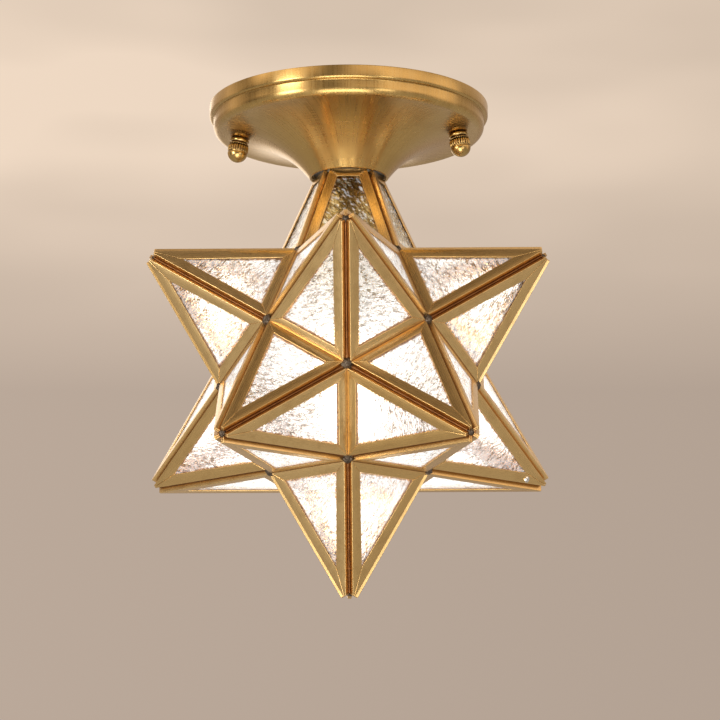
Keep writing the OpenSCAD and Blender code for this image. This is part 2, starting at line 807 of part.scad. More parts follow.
// Candle shape: height below the collar and radius, from the foot to the tip
function dome_r(r, u) =
    u < 0.3 ? r * (1 - (1 - dome_foot) * pow((0.3 - u) / 0.3, 2)) :
    r * pow(1 - pow((u - 0.3) / 0.7, 1.7), 0.75);
function dome_points(r, h) = [for (n = [0 : 26]) [dome_r(r, sin(90 * n / 26)), -h * sin(90 * n / 26)]];

module bulb_dome() {
    color([0.98, 0.97, 0.93, 0.8]) translate([0, 0, collar_z]) rotate_extrude() difference() {
        polygon(concat([[0, 0]], dome_points(bulb_r, dome_h)));
        polygon(concat([[0, 0]], dome_points(bulb_r - dome_wall, dome_h - dome_wall)));
    }
}

module bulb_led_board() {
    chip = 2.4;
    chip_h = 0.4;
    board_gap = 0.5;
    board_r = dome_foot * (bulb_r - dome_wall) - board_gap;
    chip_in = 2.6;
    color([0.93, 0.93, 0.9]) translate([0, 0, collar_z - board_t]) {
        cylinder(r = board_r, h = board_t);
        for (k = [0 : 7]) rotate([0, 0, 45 * k]) translate([board_r - chip_in - chip / 2, 0, 0])
            cube([chip, chip, 2 * chip_h], center = true);
    }
}

canopy();
flare_plate();
mounting_strap();
stud(-1);  // stud_left
stud(1);  // stud_right
stud_lock_nuts();
cap_nut(-1);  // cap_nut_left
cap_nut(1);  // cap_nut_right
ground_screw();
stem();
stem_washer();
stem_lock_nut();
neck_plate();
stem_bottom_nut();
lampholder_cap();
lampholder_body();
lampholder_shell();
lampholder_contact();
bulb_cap();
bulb_insulator();
bulb_contact();
bulb_collar();
bulb_dome();
bulb_led_board();
neck_frames();  // frame_neck
spike_frames(1);  // frame_upper_1
spike_frames(2);  // frame_upper_2
spike_frames(3);  // frame_upper_3
spike_frames(4);  // frame_upper_4
spike_frames(5);  // frame_upper_5
spike_frames(sides + 1);  // frame_lower_1
spike_frames(sides + 2);  // frame_lower_2
spike_frames(sides + 3);  // frame_lower_3
spike_frames(sides + 4);  // frame_lower_4
spike_frames(sides + 5);  // frame_lower_5
spike_frames(bottom_spike);  // frame_bottom
neck_glass();  // glass_neck
spike_glass(1);  // glass_upper_1
spike_glass(2);  // glass_upper_2
spike_glass(3);  // glass_upper_3
spike_glass(4);  // glass_upper_4
spike_glass(5);  // glass_upper_5
spike_glass(sides + 1);  // glass_lower_1
spike_glass(sides + 2);  // glass_lower_2
spike_glass(sides + 3);  // glass_lower_3
spike_glass(sides + 4);  // glass_lower_4
spike_glass(sides + 5);  // glass_lower_5
spike_glass(bottom_spike);  // glass_bottom
door_frame();
door_glass();
door_knuckle();
fixed_knuckles();
hinge_pin();
door_screw();
door_catch_block();
solder_ridges();
solder_valleys();
solder_tips();
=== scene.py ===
import math

import bmesh
import bpy
from mathutils import Matrix, Vector


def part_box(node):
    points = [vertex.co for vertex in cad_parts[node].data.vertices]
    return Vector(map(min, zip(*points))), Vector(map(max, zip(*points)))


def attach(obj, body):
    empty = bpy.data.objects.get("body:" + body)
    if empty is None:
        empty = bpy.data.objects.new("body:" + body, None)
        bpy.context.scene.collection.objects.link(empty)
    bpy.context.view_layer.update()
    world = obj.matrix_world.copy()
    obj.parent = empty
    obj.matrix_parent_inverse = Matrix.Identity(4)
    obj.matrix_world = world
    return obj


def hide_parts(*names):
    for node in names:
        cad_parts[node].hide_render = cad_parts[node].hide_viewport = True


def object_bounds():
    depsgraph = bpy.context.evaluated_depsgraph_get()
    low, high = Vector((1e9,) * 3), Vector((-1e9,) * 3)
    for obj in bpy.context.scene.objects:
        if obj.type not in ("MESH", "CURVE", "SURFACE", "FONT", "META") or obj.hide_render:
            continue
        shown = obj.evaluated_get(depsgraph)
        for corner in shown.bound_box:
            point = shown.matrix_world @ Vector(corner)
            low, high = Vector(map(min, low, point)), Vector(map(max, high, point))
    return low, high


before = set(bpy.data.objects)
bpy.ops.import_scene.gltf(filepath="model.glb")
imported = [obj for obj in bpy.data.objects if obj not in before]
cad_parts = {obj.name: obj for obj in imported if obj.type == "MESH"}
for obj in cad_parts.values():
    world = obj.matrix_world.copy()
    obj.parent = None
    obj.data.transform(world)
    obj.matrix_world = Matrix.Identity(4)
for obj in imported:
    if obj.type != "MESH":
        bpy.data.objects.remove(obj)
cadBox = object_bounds()
print("frame loaded:", len(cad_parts), "nodes")

# the photograph's view, from below and a little to the right of the lamp
camera = {
    "place": (0.1693, -1.9815, -0.6288),
    "turn": 4.727,  # degrees about Z
    "up": 14.05,  # degrees above the horizon
    "roll": -0.116,
    "lens": 206.6,
    "sensor": 36.0,
    "near": 0.01,
    "far": 50,
}

# the star, in metres and degrees
star = {
    "sides": 5,
    "edge": 0.0491,  # a valley between two spikes
    "turn": 4.0,
    "neckHeight": 0.0456,
    "neckTop": 0.0156,  # from the axis to each side of the neck's top
    "neckGap": 0.00005,  # left above the neck's frames
    "doorSpike": 7,
    "doorPanel": 4,
}

# brass channel round each pane
channel = {
    "flange": 0.0047,
    "wall": 0.0005,
    "slot": 0.0021,
    "edgeRound": 0.0002,
    "sharp": 25,  # edges that fold more than this are rounded
    "crown": 0.00016,  # the strip is rolled a little round across its width
    "mitreGap": 0.00004,
    "ridgeGap": 0.0003,
    "valleyGap": 0.00008,
    "tipHalf": 0.0008,
    "windowTipHalf": 0.0007,
    "brushShift": 0.07,  # moves the brushing lines from strip to strip
    "dull": (0.62, 0.40, 0.15),
    "bright": (0.80, 0.57, 0.27),
    "aged": (0.50, 0.31, 0.12),
    "deep": (0.40, 0.21, 0.075),  # painted shade, with some patina, down in the grooves
    "rough": (0.22, 0.34),
    "grain": (3200.0, 120.0),  # fineness, and how fine its clouds are
    "grainStretch": 0.03,
    "grainBump": 0.00001,
    "agedSize": 140.0,
    "agedAmount": 0.45,
    "deepShadeReach": (-0.0004, -0.003),  # the painted shade and patina grow from the first to the second
    "deepShadeAmount": 0.8,
}

glass = {
    "inset": 0.0008,  # from the channel's outer edge to the pane's edge
    "faceGap": 0.00005,
    "thickness": 0.002,
    "tipHalf": 0.0046,
    "columns": 44,
    "rows": 84,
    "ripple": 0.00034,  # depth of the hammered pattern
    "rippleSize": 0.0016,
    "rippleStretch": 0.42,
    "turns": 9.0,  # how far the pattern turns from pane to pane
    "seed": 11,
    "doorSeed": 51,
    "clear": (0.985, 0.985, 0.975),
    "refractedDash": (0.24, 0.18, 0.10),  # painted refraction: dark strokes of the dark inside seen through the glass where the waves are steep
    "borderRefraction": (0.40, 0.19, 0.05),  # painted refraction: the channel seen through the glass at its edge
    "borderWidth": 0.0016,
    "borderWobble": 0.35,  # this and the fade are shares of the width
    "borderFade": (0.35, 0.75),
    "borderAmount": 0.95,
    # painted refraction in the neck: the stem, holder and canopy inside seen through the glass, darker than
    # the star's panes
    "neckRefraction": (0.62, 0.52, 0.30),
    "neckDash": (0.22, 0.15, 0.06),
    "neckZ": (-0.088, -0.070),  # from the star's glass to the neck's
    # painted glow in the panes, strongest near the bulb
    "glowMiddle": (0, 0, -0.150),
    "glow": (0.92, 0.97, 1.0),
    "glowNear": 0.37,
    "glowFar": 0.17,
    "glowReach": (0.035, 0.115),
    "dashReach": (0.045, 0.090),  # the strokes drown in the light near the bulb
    "dashNear": 0.30,
    "glowDash": (0.12, 0.07, 0.025),
    "glowBorder": (0.16, 0.07, 0.02),
    "neckGlint": 0.34,
    "crest": (0.80, 0.92),  # the waves' heights where the neck gets painted glints
    "shadowTint": (0.93, 0.92, 0.89),
    "rough": (0.04, 0.1),
    "refraction": 1.5,
    "bump": (0.0005, 0.8),
}

tiny = 1e-7  # points closer than this are one
samePlace = 0.001  # ends of neighbouring panels closer than this meet


def newObject(name, data):
    made = bpy.data.objects.new(name, data)
    bpy.context.scene.collection.objects.link(made)
    return made


def rotated(angle, axis="Z"):
    return Matrix.Rotation(angle, 4, axis)


def makeCamera():
    data = bpy.data.cameras.new("photoCamera")
    data.lens = camera["lens"]
    data.sensor_width = camera["sensor"]
    data.clip_start = camera["near"]
    data.clip_end = camera["far"]
    obj = newObject("photoCamera", data)
    turn, up, roll = (math.radians(camera[key]) for key in ("turn", "up", "roll"))
    aim = rotated(turn) @ rotated(math.pi / 2 + up, "X") @ rotated(roll)
    obj.matrix_world = Matrix.Translation(camera["place"]) @ aim
    bpy.context.scene.camera = obj


makeCamera()


# small helpers for node trees


# sets a node's inputs, each by its name or number, to a plain value or to another node's output
def feed(tree, node, inputs):
    for name, value in inputs.items():
        socket = node.inputs[name]
        if isinstance(value, bpy.types.NodeSocket):
            tree.links.new(value, socket)
        elif socket.type == "RGBA" and len(value) == 3:
            socket.default_value = (*value, 1)
        else:
            socket.default_value = value
    return node


def addNode(tree, kind, inputs=None, **settings):
    made = tree.nodes.new(kind)
    for name, value in settings.items():
        setattr(made, name, value)
    return feed(tree, made, inputs or {})


def mathNode(tree, operation, a, b=None):
    inputs = {0: a} if b is None else {0: a, 1: b}
    return addNode(tree, "ShaderNodeMath", inputs, operation=operation).outputs[0]


def times(tree, a, b):
    return mathNode(tree, "MULTIPLY", a, b)


def plus(tree, a, b):
    return mathNode(tree, "ADD", a, b)


def vectorNode(tree, operation, inputs, output="Vector"):
    return addNode(tree, "ShaderNodeVectorMath", inputs, operation=operation).outputs[output]


def joinAxes(tree, **axes):
    return addNode(tree, "ShaderNodeCombineXYZ", axes).outputs[0]


def splitAxes(tree, vector):
    return addNode(tree, "ShaderNodeSeparateXYZ", {"Vector": vector}).outputs


def mixColour(tree, amount, a, b):
    return addNode(tree, "ShaderNodeMix", {0: amount, 6: a, 7: b}, data_type="RGBA").outputs[2]


def mapRange(tree, value, low, high, toLow, toHigh):
    inputs = {"Value": value, "From Min": low, "From Max": high, "To Min": toLow, "To Max": toHigh}
    return addNode(tree, "ShaderNodeMapRange", inputs).outputs[0]


# spreads a noise, which keeps between about 0.3 and 0.7, over the range from low to high
def spread(tree, noise, low, high):
    return mapRange(tree, noise, 0.3, 0.7, low, high)


def noiseNode(tree, vector, scale, **more):
    return addNode(tree, "ShaderNodeTexNoise", {"Vector": vector, "Scale": scale, **more}).outputs["Fac"]


def stretched(tree, vector, scale):
    return addNode(tree, "ShaderNodeMapping", {"Vector": vector, "Scale": scale}).outputs["Vector"]


def coordinates(tree, kind="Object"):
    return tree.nodes.new("ShaderNodeTexCoord").outputs[kind]


def attribute(tree, name, output="Fac"):
    return addNode(tree, "ShaderNodeAttribute", attribute_name=name).outputs[output]


def bump(tree, height, distance, strength=1.0):
    inputs = {"Height": height, "Distance": distance, "Strength": strength}
    return addNode(tree, "ShaderNodeBump", inputs).outputs["Normal"]


# starts a node group; an input given as a number has that value, one given as a word has that kind
def newGroup(name, kind, inputs, outputs):
    tree = bpy.data.node_groups.new(name, kind)
    for label, value in inputs.items():
        plain = not isinstance(value, str)
        word = type(value).__name__.capitalize() if plain else value
        socket = tree.interface.new_socket(label, in_out="INPUT", socket_type="NodeSocket" + word)
        if plain:
            socket.default_value = value
    for label, word in outputs.items():
        tree.interface.new_socket(label, in_out="OUTPUT", socket_type="NodeSocket" + word)
    return tree, tree.nodes.new("NodeGroupInput").outputs, tree.nodes.new("NodeGroupOutput")


# shader effects that several finishes share


# fine lines along one direction, as brushing or spinning leaves, and soft clouds of colour
def grainGroup():
    inputs = {"Vector": "Vector", "Fineness": 1.0, "Cloud Size": 60.0}
    tree, into, out = newGroup("metalGrain", "ShaderNodeTree", inputs, {"Lines": "Float", "Clouds": "Float"})
    lines = noiseNode(tree, into["Vector"], into["Fineness"], Detail=3.0, Roughness=0.7)
    clouds = noiseNode(tree, into["Vector"], into["Cloud Size"], Detail=2.0)
    feed(tree, out, {"Lines": lines, "Clouds": clouds})
    return tree


# soft dark spots and fingerprints of age on a metal
def agedGroup():
    inputs = {"Vector": "Vector", "Size": 90.0, "Amount": 0.5}
    tree, into, out = newGroup("agedSpots", "ShaderNodeTree", inputs, {"Mask": "Float"})
    spots = noiseNode(tree, into["Vector"], into["Size"], Detail=5.0, Roughness=0.62)
    mask = mapRange(tree, spots, 0.5, 0.72, 0.0, 1.0)
    feed(tree, out, {"Mask": times(tree, mask, into["Amount"])})
    return tree


# the waves of the sheet; a frequency is a multiple of the ripples' own
sheetWaves = {
    "paneShift": 1.7,  # between the places that two panes were cut from
    "distortion": 0.4,
    "fineFrequency": 2.3,
    "fineShare": 0.45,
    "strokeDistortion": 0.9,
    "stroke": (0.035, 0.095),  # the painted dark strokes fade out this far from a wave's middle height
    "breakFrequency": 0.8,
    "breaks": (0.47, 0.56),
}


# a place in the sheet that a pane was cut from, stretched along the waves
def sheetVector(tree, into, sheet, pane):
    moved = vectorNode(tree, "ADD", {0: sheet, 1: times(tree, pane, sheetWaves["paneShift"])})
    turn = {"Vector": moved, "Angle": times(tree, pane, into["Turns"])}
    turned = addNode(tree, "ShaderNodeVectorRotate", turn, rotation_type="Z_AXIS").outputs[0]
    stretch = joinAxes(tree, X=1.0, Y=into["Stretch"], Z=1.0)
    return vectorNode(tree, "MULTIPLY", {0: turned, 1: stretch})


def waveNode(tree, run, frequency, distortion):
    return noiseNode(tree, run, frequency, Detail=1.0, Distortion=distortion)


# the short waves of rolled cathedral glass, laid another way round in each pane
def hammeredGroup():
    inputs = {"Sheet": "Vector", "Pane": 0.0, "Turns": 9.0, "Size": 0.002, "Stretch": 0.45}
    outputs = {"Height": "Float", "Dashes": "Float"}
    tree, into, out = newGroup("hammeredWaves", "ShaderNodeTree", inputs, outputs)
    run = sheetVector(tree, into, into["Sheet"], into["Pane"])
    frequency = mathNode(tree, "DIVIDE", 1.0, into["Size"])
    fine = noiseNode(tree, run, times(tree, frequency, sheetWaves["fineFrequency"]), Detail=1.0)
    waves = waveNode(tree, run, frequency, sheetWaves["distortion"])
    height = plus(tree, waves, times(tree, fine, sheetWaves["fineShare"]))
    bends = waveNode(tree, run, frequency, sheetWaves["strokeDistortion"])
    off = mathNode(tree, "ABSOLUTE", plus(tree, bends, -0.5))
    breaks = noiseNode(tree, run, times(tree, frequency, sheetWaves["breakFrequency"]), Detail=1.5)
    stroke = mapRange(tree, off, *sheetWaves["stroke"], 1.0, 0.0)
    dashes = times(tree, stroke, mapRange(tree, breaks, *sheetWaves["breaks"], 0.0, 1.0))
    feed(tree, out, {"Height": height, "Dashes": dashes})
    return tree


metalGrain = grainGroup()
agedSpots = agedGroup()
hammeredWaves = hammeredGroup()


def placeGroup(tree, group, inputs):
    return addNode(tree, "ShaderNodeGroup", inputs, node_tree=group).outputs


def placeGrain(tree, vector, fineness, cloudSize):
    return placeGroup(tree, metalGrain, {"Vector": vector, "Fineness": fineness, "Cloud Size": cloudSize})


def newMaterial(name):
    material = bpy.data.materials.new(name)
    material.use_nodes = True
    tree = material.node_tree
    tree.nodes.clear()
    shader = tree.nodes.new("ShaderNodeBsdfPrincipled")
    addNode(tree, "ShaderNodeOutputMaterial", {"Surface": shader.outputs["BSDF"]})
    return material, tree, shader


spun = {
    "dark": (0.46, 0.29, 0.092),
    "light": (0.61, 0.41, 0.15),
    # a painted highlight, laid in radial streaks
    "highlightStreak": (0.68, 0.49, 0.22),
    "aged": (0.37, 0.225, 0.075),
    "streaks": 55.0,  # how many there are round the axis
    "highlightStreakAmount": 0.22,
    "streakRough": 0.03,
    "lines": (2600.0, 140.0),  # fineness, and how fine their clouds are
    "fibres": (900.0, 22.0),
    "fibreStretch": 0.12,
    "agedSize": 60.0,
    "agedAmount": 0.35,
    "bump": (0.00002, 0.5),
    "rough": (0.23, 0.31),
    "anisotropy": 0.8,
}


# the canopy: turning lines round the axis, with broad radial highlights, partly painted as lighter streaks
def spunBrass():
    material, tree, shader = newMaterial("spunBrass")
    place = coordinates(tree)
    parts = splitAxes(tree, place)
    flat = joinAxes(tree, X=parts["X"], Y=parts["Y"], Z=0.0)
    along = mathNode(tree, "SUBTRACT", vectorNode(tree, "LENGTH", {0: flat}, "Value"), parts["Z"])
    turned = placeGrain(tree, joinAxes(tree, X=along, Y=0.0, Z=0.0), *spun["lines"])
    fibres = placeGrain(tree, stretched(tree, place, (1, 1, spun["fibreStretch"])), *spun["fibres"])
    spots = {"Vector": place, "Size": spun["agedSize"], "Amount": spun["agedAmount"]}
    aged = placeGroup(tree, agedSpots, spots)
    streaks = noiseNode(tree, vectorNode(tree, "NORMALIZE", {0: flat}), spun["streaks"], Detail=3.0)
    highlightStreak = mapRange(tree, streaks, 0.4, 0.6, 0.0, 1.0)
    base = mixColour(tree, fibres["Clouds"], spun["dark"], spun["light"])
    # painted highlight: lighter streaks running out from the axis, which also roughen the brass
    base = mixColour(tree, times(tree, highlightStreak, spun["highlightStreakAmount"]), base, spun["highlightStreak"])
    base = mixColour(tree, aged["Mask"], base, spun["aged"])
    tangent = addNode(tree, "ShaderNodeTangent", direction_type="RADIAL", axis="Z")
    rough = spread(tree, turned["Lines"], *spun["rough"])
    surface = {
        "Base Color": base,
        "Metallic": 1.0,
        "Roughness": plus(tree, rough, times(tree, highlightStreak, spun["streakRough"])),
        "Anisotropic": spun["anisotropy"],
        "Anisotropic Rotation": 0.25,
        "Tangent": tangent.outputs["Tangent"],
        "Normal": bump(tree, turned["Lines"], *spun["bump"]),
    }
    feed(tree, shader, surface)
    return material


# satin brass channel, brushed along each strip, with painted shade and some patina down in the grooves
def channelBrass():
    material, tree, shader = newMaterial("channelBrass")
    came = attribute(tree, "came", "Vector")
    parts = splitAxes(tree, came)
    grain = placeGrain(tree, stretched(tree, came, (channel["grainStretch"], 1, 1)), *channel["grain"])
    spots = {"Vector": coordinates(tree), "Size": channel["agedSize"], "Amount": channel["agedAmount"]}
    aged = placeGroup(tree, agedSpots, spots)
    base = mixColour(tree, attribute(tree, "panelTone"), channel["dull"], channel["bright"])
    base = mixColour(tree, aged["Mask"], base, channel["aged"])
    # painted shade with some patina: the brass darkens with depth down the channel, where shade falls
    deep = mapRange(tree, parts["Z"], *channel["deepShadeReach"], 0.0, channel["deepShadeAmount"])
    across = times(tree, parts["Y"], math.pi / channel["flange"])
    crown = times(tree, mathNode(tree, "SINE", across), channel["crown"])
    brushed = times(tree, grain["Lines"], channel["grainBump"])
    surface = {
        "Base Color": mixColour(tree, deep, base, channel["deep"]),
        "Metallic": 1.0,
        "Roughness": spread(tree, grain["Lines"], *channel["rough"]),
        "Normal": bump(tree, plus(tree, crown, brushed), 1.0),
    }
    feed(tree, shader, surface)
    return material


# how the small parts' surfaces differ
surfaces = {
    "metal": {"metallic": 1.0, "lines": 1200.0, "clouds": 120.0, "swing": 0.06, "bump": (0.00002, 0.4)},
    "plastic": {"metallic": 0.0, "lines": 1500.0, "clouds": 70.0, "swing": 0.05, "bump": (0.00003, 0.4)},
    "solder": {"metallic": 0.8, "lines": 900.0, "clouds": 260.0, "swing": 0.125, "bump": (0.0002, 0.6)},
    "seam": {"metallic": 0.9, "lines": 900.0, "clouds": 260.0, "swing": 0.125, "bump": (0.0002, 0.6)},
}
# painted shade for the grooves of small parts
grooveShade = (0.10, 0.045, 0.015)


# a small part's finish; where the mesh has the attribute named by the last argument, painted shade makes it
# dark
def smallFinish(name, kind, dark, light, roughness, groove=None):
    material, tree, shader = newMaterial(name)
    look = surfaces[kind]
    worn = placeGrain(tree, coordinates(tree), look["lines"], look["clouds"])
    base = mixColour(tree, worn["Clouds"], dark, light)
    if groove:
        base = mixColour(tree, attribute(tree, groove), base, grooveShade)
    surface = {
        "Base Color": base,
        "Metallic": look["metallic"],
        "Roughness": spread(tree, worn["Lines"], roughness - look["swing"], roughness + look["swing"]),
        "Normal": bump(tree, worn["Lines"], *look["bump"]),
    }
    feed(tree, shader, surface)
    return material


# clear rolled glass: ripples in the mesh, finer waves in the bump, and the bulb's glow painted into it as
# emission
def hammeredGlass():
    material, tree, shader = newMaterial("hammeredGlass")
    pattern = {
        "Sheet": attribute(tree, "sheet", "Vector"),
        "Pane": attribute(tree, "panelTone"),
        "Turns": glass["turns"],
        "Size": glass["rippleSize"],
        "Stretch": glass["rippleStretch"],
    }
    waves = placeGroup(tree, hammeredWaves, pattern)
    place = coordinates(tree)
    away = vectorNode(tree, "DISTANCE", {0: place, 1: glass["glowMiddle"]}, "Value")
    dashes = times(tree, waves["Dashes"], mapRange(tree, away, *glass["dashReach"], glass["dashNear"], 1.0))
    wide = glass["borderWidth"]
    sway = wide * glass["borderWobble"]
    wobble = mapRange(tree, waves["Height"], 0.45, 1.0, -sway, sway)
    border = plus(tree, attribute(tree, "rim"), wobble)
    full, gone = (wide * share for share in glass["borderFade"])
    border = mapRange(tree, border, full, gone, glass["borderAmount"], 0.0)
    inStar = mapRange(tree, splitAxes(tree, place)["Z"], *glass["neckZ"], 1.0, 0.0)
    # painted refraction: dark strokes, and in the neck the dark inside, seen through the glass
    tint = mixColour(tree, dashes, glass["clear"], glass["refractedDash"])
    tint = mixColour(tree, inStar, mixColour(tree, dashes, glass["neckRefraction"], glass["neckDash"]), tint)
    # painted glow: emission stands in for the bulb's light that the rough surface scatters, most where it is
    # near
    near = mapRange(tree, away, *glass["glowReach"], glass["glowNear"], glass["glowFar"])
    # painted highlights: glints of emission on the crests of the neck's waves
    crest = mapRange(tree, waves["Height"], *glass["crest"], 0.0, glass["neckGlint"])
    crest = times(tree, crest, mathNode(tree, "SUBTRACT", 1.0, inStar))
    # the painted glow is dimmer and browner on the painted strokes and border
    lit = mixColour(tree, dashes, glass["glow"], glass["glowDash"])
    lit = mixColour(tree, border, lit, glass["glowBorder"])
    glow = vectorNode(tree, "SCALE", {0: lit, "Scale": plus(tree, times(tree, near, inStar), crest)})
    surface = {
        "Base Color": mixColour(tree, border, tint, glass["borderRefraction"]),
        "Transmission Weight": 1.0,
        "IOR": glass["refraction"],
        "Roughness": mapRange(tree, waves["Height"], 0.4, 1.0, *glass["rough"]),
        "Normal": bump(tree, waves["Height"], *glass["bump"]),
        "Emission Color": glow,
        "Emission Strength": 1.0,
    }
    feed(tree, shader, surface)
    # lamps shine through the panes instead of leaving hard shadows
    path = tree.nodes.new("ShaderNodeLightPath")
    clear = addNode(tree, "ShaderNodeBsdfTransparent", {"Color": glass["shadowTint"]})
    choice = {0: path.outputs["Is Shadow Ray"], 1: shader.outputs["BSDF"], 2: clear.outputs["BSDF"]}
    either = addNode(tree, "ShaderNodeMixShader", choice)
    out = next(n for n in tree.nodes if n.type == "OUTPUT_MATERIAL")
    feed(tree, out, {"Surface": either.outputs["Shader"]})
    return material


dome = {
    "opal": (0.95, 0.93, 0.88),
    "warm": (1.0, 0.93, 0.80),
    "bright": (1.0, 0.96, 0.88),
    "light": 9.0,
    "throughGlass": 4.5,  # held back, so that the ripples in front of it still show
    "rough": (0.25, 0.35),
    "grain": (300.0, 60.0),
}


# the bulb's opal dome, alight
def litDome():
    material, tree, shader = newMaterial("litDome")
    cloud = placeGrain(tree, coordinates(tree), *dome["grain"])
    through = tree.nodes.new("ShaderNodeLightPath").outputs["Is Transmission Ray"]
    surface = {
        "Base Color": dome["opal"],
        "Emission Color": mixColour(tree, cloud["Clouds"], dome["warm"], dome["bright"]),
        "Emission Strength": mapRange(tree, through, 0.0, 1.0, dome["light"], dome["throughGlass"]),
        "Roughness": spread(tree, cloud["Lines"], *dome["rough"]),
    }
    feed(tree, shader, surface)
    return material


# each small finish: its name, its kind of surface, a dark and a light shade, and its roughness
smallFinishes = {
    "solder": ("darkSolder", "solder", (0.035, 0.026, 0.019), (0.17, 0.13, 0.095), 0.425),
    "seam": ("brownSeam", "seam", (0.10, 0.04, 0.014), (0.30, 0.14, 0.05), 0.425),
    "nut": ("turnedBrass", "metal", (0.42, 0.27, 0.09), (0.58, 0.40, 0.16), 0.24, "groove"),
    "hinge": ("hingeBrass", "metal", (0.50, 0.32, 0.12), (0.60, 0.42, 0.18), 0.32),
    "stem": ("stemBrass", "metal", (0.42, 0.33, 0.12), (0.55, 0.42, 0.18), 0.3),
    "zinc": ("zincSteel", "metal", (0.50, 0.51, 0.53), (0.68, 0.69, 0.70), 0.33),
    "screw": ("platedScrew", "metal", (0.75, 0.74, 0.72), (0.88, 0.87, 0.85), 0.22),
    "bulbMetal": ("bulbMetal", "metal", (0.68, 0.68, 0.68), (0.80, 0.80, 0.80), 0.3),
    "cream": ("creamPlastic", "plastic", (0.78, 0.73, 0.62), (0.86, 0.82, 0.72), 0.45),
    "white": ("whitePlastic", "plastic", (0.84, 0.84, 0.82), (0.90, 0.90, 0.88), 0.35),
    "black": ("blackInsulator", "plastic", (0.015, 0.015, 0.016), (0.03, 0.03, 0.032), 0.3),
}
finish = {"canopy": spunBrass(), "channel": channelBrass(), "glass": hammeredGlass(), "dome": litDome()}
for part, values in smallFinishes.items():
    finish[part] = smallFinish(*values)
print("finishes made:", len(finish))


# the star's geometry

step = 2 * math.pi / star["sides"]
ringTilt = math.atan(2)
panelLean = math.pi / 2 - ringTilt
foldHalf = (math.pi - ringTilt) / 2
channelDepth = channel["slot"] + 2 * channel["wall"]
baseApothem = star["edge"] / (2 * math.tan(step / 2))
starRadius = baseApothem * math.tan(foldHalf)


def ridgeInset(half):
    return channelDepth / math.tan(half) + channel["ridgeGap"] / (2 * math.sin(half))


# half width of the base line, narrowing with height, inset of the sides, and the top if it is cut flat
def panelShape(narrowing, inset, top=None):
    return {"half": star["edge"] / 2, "narrow": narrowing, "inset": inset, "top": top}


def sideX(shape, inset, y):
    return shape["half"] - (shape["inset"] + inset) * math.hypot(1, shape["narrow"]) - shape["narrow"] * y


def sideY(shape, inset, x):
    return (shape["half"] - (shape["inset"] + inset) * math.hypot(1, shape["narrow"]) - x) / shape["narrow"]


triangle = panelShape(math.tan(step / 4), ridgeInset(foldHalf))
triangleTop = sideY(triangle, 0, channel["tipHalf"])

neckLean = math.atan((baseApothem - star["neckTop"]) / star["neckHeight"])
neckTurn = math.acos(math.cos(neckLean) ** 2 * math.cos(step) + math.sin(neckLean) ** 2)
neckFoldHalf = (math.pi - neckTurn) / 2
neckSlant = star["neckHeight"] / math.cos(neckLean)
neckNarrow = (star["edge"] / 2 - star["neckTop"] * math.tan(step / 2)) / neckSlant
trapezoid = panelShape(neckNarrow, ridgeInset(neckFoldHalf), neckSlant - star["neckGap"])

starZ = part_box("frame_bottom")[0].z + starRadius + triangleTop * math.cos(panelLean)


# frame of a spike's base, with +Z along the spike; 0 is the neck and 11 points down
def spikeMatrix(i):
    turn = math.radians(star["turn"])
    sides = star["sides"]
    if i == 0:
        tilt, about, first = 0, turn - math.pi / 2, 0
    elif i <= sides:
        tilt, about, first = ringTilt, turn - math.pi / 2 + step * (i - 1), math.pi
    elif i <= 2 * sides:
        tilt, about, first = math.pi - ringTilt, turn - math.pi / 2 + step * (i - 0.5 - sides), 0
    else:
        tilt, about, first = math.pi, turn + math.pi / 2 + step / 2, 0
    middle = Matrix.Translation((0, 0, starZ)) @ rotated(about) @ rotated(tilt, "Y")
    return middle @ Matrix.Translation((0, 0, starRadius)) @ rotated(first)


# frame of a spike's first panel: X along its base line, Y up the panel, Z outwards
def panelMatrix(lean):
    foot = Matrix.Translation((baseApothem, 0, 0))
    return foot @ rotated(-lean, "Y") @ rotated(math.pi / 2) @ rotated(math.pi / 2, "X")


# frame of panel k of spike i
def panelPlace(i, k, lean):
    return spikeMatrix(i) @ rotated(step * k) @ panelMatrix(lean)


def footCorner(shape, inset, side):
    low = channel["valleyGap"] + inset
    return (side * sideX(shape, inset, low), low)


def topCorner(shape, inset, side):
    high = shape["top"] - inset
    return (side * sideX(shape, inset, high), high)


# blunt tip of a triangle: its cut corner, or its middle, or the point of the window
def tipCorner(shape, inset, side, middle):
    if inset == channel["flange"]:
        return (side * channel["mitreGap"], sideY(shape, inset, channel["windowTipHalf"]))
    high = triangleTop - inset
    return (side * channel["mitreGap"] if middle else side * sideX(shape, inset, high), high)


# each side of a panel as a list of corners, each a function of the inset
def stripLines(shape):
    def foot(side):
        return lambda u: footCorner(shape, u, side)

    def top(side):
        return lambda u: topCorner(shape, u, side)

    def cut(side, middle):
        return lambda u: tipCorner(shape, u, side, middle)

    if shape["top"]:
        return [[foot(-1), foot(1)], [foot(1), top(1)], [top(1), top(-1)], [top(-1), foot(-1)]]
    rising = [foot(1), cut(1, False), cut(1, True)]
    return [[foot(-1), foot(1)], rising, [cut(-1, True), cut(-1, False), foot(-1)]]


# the folded channel's section: inset from its outer edge, and height
def channelSection():
    w, t, d = channel["flange"], channel["wall"], channelDepth
    return [(0, 0), (w, 0), (w, -t), (t, -t), (t, t - d), (w, t - d), (w, -d), (0, -d)]


def finishMesh(name, bm):
    mesh = bpy.data.meshes.new(name)
    bm.to_mesh(mesh)
    bm.free()
    return mesh


